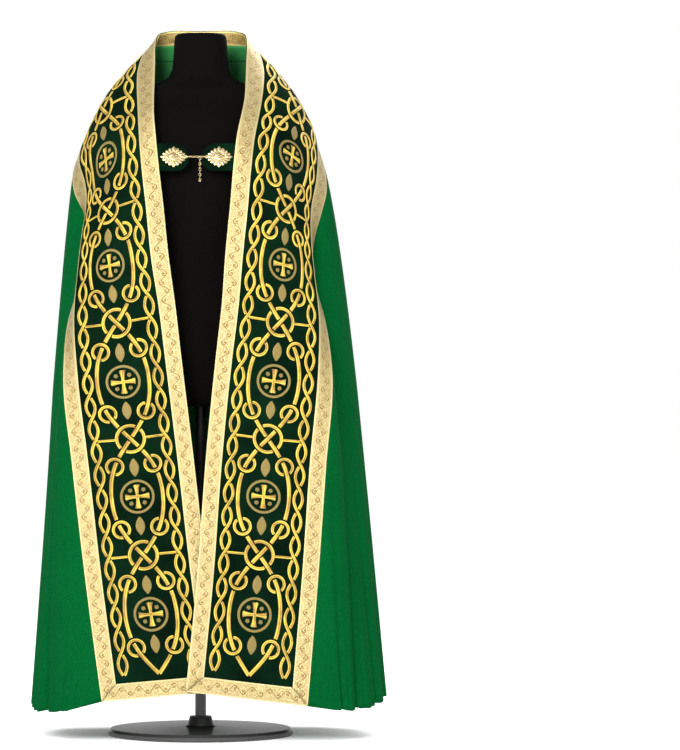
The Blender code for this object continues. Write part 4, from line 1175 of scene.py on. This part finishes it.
def makeTab(side, sideName, end, edge):
    half, middle = clasp["tabHalf"], clasp["height"]
    straight = abs(end - edge) - half
    reaches = np.concatenate([[-clasp["tabTuck"]], np.linspace(0.0, straight, clasp["tabSteps"]),
                              straight + half * np.sin(clasp["turns"])])
    shares = np.concatenate([np.ones(clasp["tabSteps"] + 1), np.cos(clasp["turns"])])

    def surface(column, row):
        places = column.astype(int)
        spots = [onTab(side, reach, height)
                 for reach, height in zip(reaches[places], middle + half * row * shares[places])]
        return [np.array(values) for values in zip(*spots)]

    def lift(column, row):  # rolled to the back at the rim
        inside = np.minimum(1 - np.abs(row), (len(reaches) - 1 - column) / clasp["rollColumns"])
        return tabLift + clasp["wall"] - clasp["roll"] * (1 - smoothStep(inside / clasp["rollShare"]))

    def flat(column, row):
        places = column.astype(int)
        return reaches[places], half * row * shares[places]

    tab = clothPiece(sideName + "Tab", "clasp_tab_" + sideName,
                     np.arange(len(reaches), dtype=float), np.linspace(-1, 1, clasp["tabRows"]), surface,
                     lift, clasp["tabWall"], [velvet], flat)
    low, high = (innerEdge.at(edgePlace(side, middle + level * half)) for level in (-1, 1))
    length, width = clasp["tabTuck"] + straight + half, float(np.hypot(*(high - low)[1:]))
    return tab, (length, width), width * (length - (1 - pi / 4) * half)


def facePlane(face, normal):
    across = unit(np.cross(normal, (0.0, 0.0, 1.0)))
    return onFloor(face), across, unit(np.cross(across, normal))


def dome(share, end):  # 1 in the middle, 0 at the end
    return np.sqrt(np.clip(1 - (share / end) ** 2, 0, 1))


def makeRosette(sideName, face, normal):  # a scalloped filigree lozenge, cast in relief
    centre, across, up = facePlane(face, normal)
    scallops, rings, lozenge = rosette["scallops"], rosette["rings"], rosette["lozenge"]

    def reachAt(turn):
        return (np.abs(np.cos(turn)) ** lozenge + np.abs(np.sin(turn)) ** lozenge) ** (-1 / lozenge)

    def spotAt(turn, reach):
        sideways = np.outer(reach * np.cos(turn) * rosette["width"] / 2, across)
        return centre + sideways + np.outer(reach * np.sin(turn) * rosette["height"] / 2, up)

    meshData = bmesh.new()
    made, column, row = newGrid(meshData, rosette["columns"], rings)
    turn = column * (2 * pi / rosette["columns"])
    share = np.clip(row / (rings - 3), 0, 1)
    point = np.abs(np.cos(turn * scallops / 2))
    reach = reachAt(turn) * (1 - rosette["notch"] * share ** 3 * (1 - point ** 1.4))
    leaf = rosette["leaf"][0] + rosette["leaf"][1] * point ** 0.7
    fall = np.clip((share - rosette["leafFrom"]) / (1 - rosette["leafFrom"]), 0, 1) ** 2
    leaf = leaf * (1 - rosette["leafFall"] * fall)
    frame = rosette["frame"] * dome(share - rosette["frameMiddle"], rosette["frameHalf"])
    petal = 1 - rosette["petalDip"] * (1 - np.abs(np.cos(turn * rosette["petals"] / 2)))
    flower = rosette["flower"] * dome(share, rosette["flowerReach"]) * petal
    boss = rosette["boss"][0] + rosette["boss"][1] * dome(share, rosette["bossEnd"])
    height = np.where(share > rosette["flowerEnd"], frame, flower)
    height = rosette["base"] + np.where(share > rosette["frameEnd"], leaf, height)
    height = np.where(share < rosette["bossEnd"], np.maximum(boss, height), height)
    height = np.where(row == rings - 2, rosette["rim"], height)
    height = np.where(row > rings - 2, 0.0, height)   # down to the tab
    settle(meshData, made, spotAt(turn, reach * share) + np.outer(height, normal))
    sealTube(meshData, made)
    bmesh.ops.recalc_face_normals(meshData, faces=meshData.faces)
    for number in range(scallops):   # a bead in every scallop
        turn = 2 * pi * number / scallops
        spot = spotAt(turn, rosette["beadPlace"] * reachAt(turn))[0] + normal * rosette["beadLift"]
        bmesh.ops.create_icosphere(meshData, subdivisions=2, radius=rosette["bead"],
                                   matrix=Matrix.Translation(spot))
    newPiece(sideName + "Rosette", "rosette_" + sideName, meshData, [gilt])


def growTube(meshData, points, radius, segments=10, closed=False):  # a round wire along its points
    heading = unit(np.gradient(points, axis=0))
    if closed:
        heading[0] = heading[-1] = unit(points[1] - points[-2])
    aside = unit(np.cross(heading, (0.0, 1.0, 0.0)) + 1e-9)
    above = np.cross(aside, heading)
    made, column, row = newGrid(meshData, segments, len(points) - 1)
    turn = (column * (2 * pi / segments))[:, None]
    settle(meshData, made, points[row] + (aside[row] * np.cos(turn) + above[row] * np.sin(turn)) * radius)
    sealTube(meshData, made)


def loopPoints(centre, across, up, width, height):
    turns = np.linspace(0, 2 * pi, 25)
    return centre + np.outer(np.cos(turns) * width, across) + np.outer(np.sin(turns) * height, up)


def giltPiece(name, node, meshData):
    bmesh.ops.recalc_face_normals(meshData, faces=meshData.faces)
    newPiece(name, node, meshData, [gilt])


def makeHook(tips, normal):  # an eye on each rosette and the wire hook that joins them
    meshData = bmesh.new()
    left, across, up = facePlane(tips[0], normal)
    right, eye = onFloor(tips[1]), clasp["eye"]
    for centre in (left + across * eye, right - across * eye):
        growTube(meshData, loopPoints(centre, across, up, eye, eye * 0.8), clasp["wire"], closed=True)
    start, end = left + across * eye * clasp["barReach"], right - across * eye * clasp["barReach"]
    run = np.linspace(0, 1, 25)[:, None]
    for lean in (-1, 1):
        bar = start + (end - start) * run + normal * clasp["barLift"]
        bar = bar + up * lean * clasp["barBow"] * np.sin(pi * run)
        growTube(meshData, bar, clasp["wire"] * 0.8)
    giltPiece("claspHook", "clasp_hook", meshData)


def makeChain(tips, normal):
    across = facePlane(tips[0], normal)[1]
    share = (clasp["chainPlace"] - tips[0][0]) / (tips[1][0] - tips[0][0])
    top = onFloor(tips[0] + (tips[1] - tips[0]) * share)
    down = np.array((0.0, 0.0, -1.0))
    pitch = clasp["chainLength"] / clasp["links"]
    meshData = bmesh.new()
    for number in range(clasp["links"]):
        link = loopPoints(top + down * (pitch * (number + 0.5)), normal if number % 2 else across, down,
                          clasp["linkHalf"], pitch * 0.62)
        growTube(meshData, link, clasp["linkWire"], 8, True)
    foot = Matrix.Translation(top + down * (clasp["chainLength"] - clasp["drop"]))
    bmesh.ops.create_uvsphere(meshData, u_segments=16, v_segments=10, radius=clasp["drop"], matrix=foot)
    giltPiece("claspChain", "clasp_chain", meshData)


def makeClasp():
    tips, tabs = [], []
    faceOff = tabLift + clasp["wall"] + drape["seamGap"]
    for (side, sideName), end, place in zip(sides, clasp["tabEnds"], clasp["rosettePlaces"]):
        edge = float(innerEdge.at(edgePlace(side, clasp["height"]))[0])
        tabs.append(makeTab(side, sideName, end, edge))
        centre, normal = onTab(side, abs(place - edge), clasp["height"])
        face = centre + normal * faceOff
        makeRosette(sideName, face, normal)
        tips.append(face - np.array((side * rosette["width"] / 2, 0, 0)) + normal * clasp["hookLift"])
    makeHook(tips, normal)
    makeChain(tips, normal)
    return tabs


tabs = makeClasp()
print("clasp made")

# the dress form and its stand
stand = {"softSteps": 2}


def makeForm():
    node = frame["nodes"]["dress_form"]
    form = node.copy()
    form.data = node.data.copy()
    form.name = "blackForm"
    bpy.context.scene.collection.objects.link(form)
    for key in [key for key in form.keys() if key.startswith("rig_")]:
        del form[key]
    meshData = bmesh.new()
    meshData.from_mesh(form.data)
    bmesh.ops.remove_doubles(meshData, verts=meshData.verts, dist=1e-5)
    bmesh.ops.recalc_face_normals(meshData, faces=meshData.faces)
    meshData.to_mesh(form.data)
    meshData.free()
    form.data.materials.clear()
    form.data.materials.append(jersey)
    form.data.shade_smooth()
    smoother = form.modifiers.new("softer", "SUBSURF")
    smoother.levels = smoother.render_levels = stand["softSteps"]
    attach(form, "root")
    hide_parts("dress_form")


makeForm()
for nodeName, paint in (("stand_pole", makeBlackPaint("blackSteel", 0.32, 0.1)),
                        ("stand_base", makeBlackPaint("blackWood", 0.38, 0.5))):
    node = frame["nodes"][nodeName]
    node.data.materials.clear()
    node.data.materials.append(paint)
print("form and stand made")


def named(start, *ends):
    return [pieces[start + end] for end in ends]


def declareSheets():  # looks up each sheet's trims, tabs and metal; nothing is done with them
    for _, side in sides:
        trims = named(side, "InnerGalloon", "OuterGalloon", "HemGalloon", "Embroidery")
        if side == "left":
            trims.append(pieces["backGalloon"])   # it covers the seam between the two halves
        pieces[side + "Orphrey"]
    named("hood", "Galloon", "Fringe", "Embroidery")
    metal = (named("", "leftRosette", "claspHook", "claspChain"), named("", "rightRosette"))
    for (_, side), (tab, flat, area), trims in zip(sides, tabs, metal):
        "orphrey_" + side


declareSheets()

# floor, light and camera
studio = {
    "floorReach": 30.0, "floorGlow": 0.10, "world": 1.0,
    "lights": (              # name, place, target, width, height, power
        ("keyLight", (-1.3, -4.2, 2.6), (0, 0, 0.9), 1.8, 1.8, 330.0),
        ("fillLight", (2.6, -3.6, 1.6), (0, 0, 0.8), 2.2, 2.2, 70.0),
        ("rimLight", (0.8, 2.2, 3.2), (0, 0, 1.0), 2.0, 1.2, 90.0),
    ),
    "frameHeight": 1.65, "cameraAt": (0.310, -9.10, 0.80), "distance": 9.0, "sensor": 24.0,
}


def makeFloor():
    meshData = bmesh.new()
    bmesh.ops.create_grid(meshData, x_segments=1, y_segments=1, size=studio["floorReach"])
    mesh = bpy.data.meshes.new("floor")
    meshData.to_mesh(mesh)
    meshData.free()
    paper = Finish("palePaper", Base_Color=colour(0.95, 0.95, 0.95), Roughness=0.9, Specular_IOR_Level=0.1,
                   Emission_Color=colour(1.0, 1.0, 1.0), Emission_Strength=studio["floorGlow"])
    mesh.materials.append(paper.material)
    floor = bpy.data.objects.new("floor", mesh)
    bpy.context.scene.collection.objects.link(floor)


def addLight(name, place, target, width, height, power):
    lamp = bpy.data.lights.new(name, "AREA")
    lamp.shape = "RECTANGLE"
    lamp.size, lamp.size_y = width, height
    lamp.energy = power
    light = bpy.data.objects.new(name, lamp)
    light.location = place
    light.rotation_euler = (Vector(target) - Vector(place)).to_track_quat("-Z", "Y").to_euler()
    bpy.context.scene.collection.objects.link(light)


def makeStudio():
    scene = bpy.context.scene
    makeFloor()
    for light in studio["lights"]:
        addLight(*light)
    world = bpy.data.worlds.new("studioWorld")
    world.use_nodes = True
    background = world.node_tree.nodes["Background"]
    background.inputs["Color"].default_value = (1, 1, 1, 1)
    background.inputs["Strength"].default_value = studio["world"]
    scene.world = world
    scene.view_settings.view_transform = "Standard"
    lens = bpy.data.cameras.new("camera")
    lens.sensor_fit = "VERTICAL"
    lens.sensor_height = studio["sensor"]
    lens.lens = studio["sensor"] * studio["distance"] / studio["frameHeight"]
    camera = bpy.data.objects.new("camera", lens)
    camera.location = studio["cameraAt"]
    camera.rotation_euler = (pi / 2, 0, 0)
    scene.collection.objects.link(camera)
    scene.camera = camera


makeStudio()
print("floor, light and camera set")
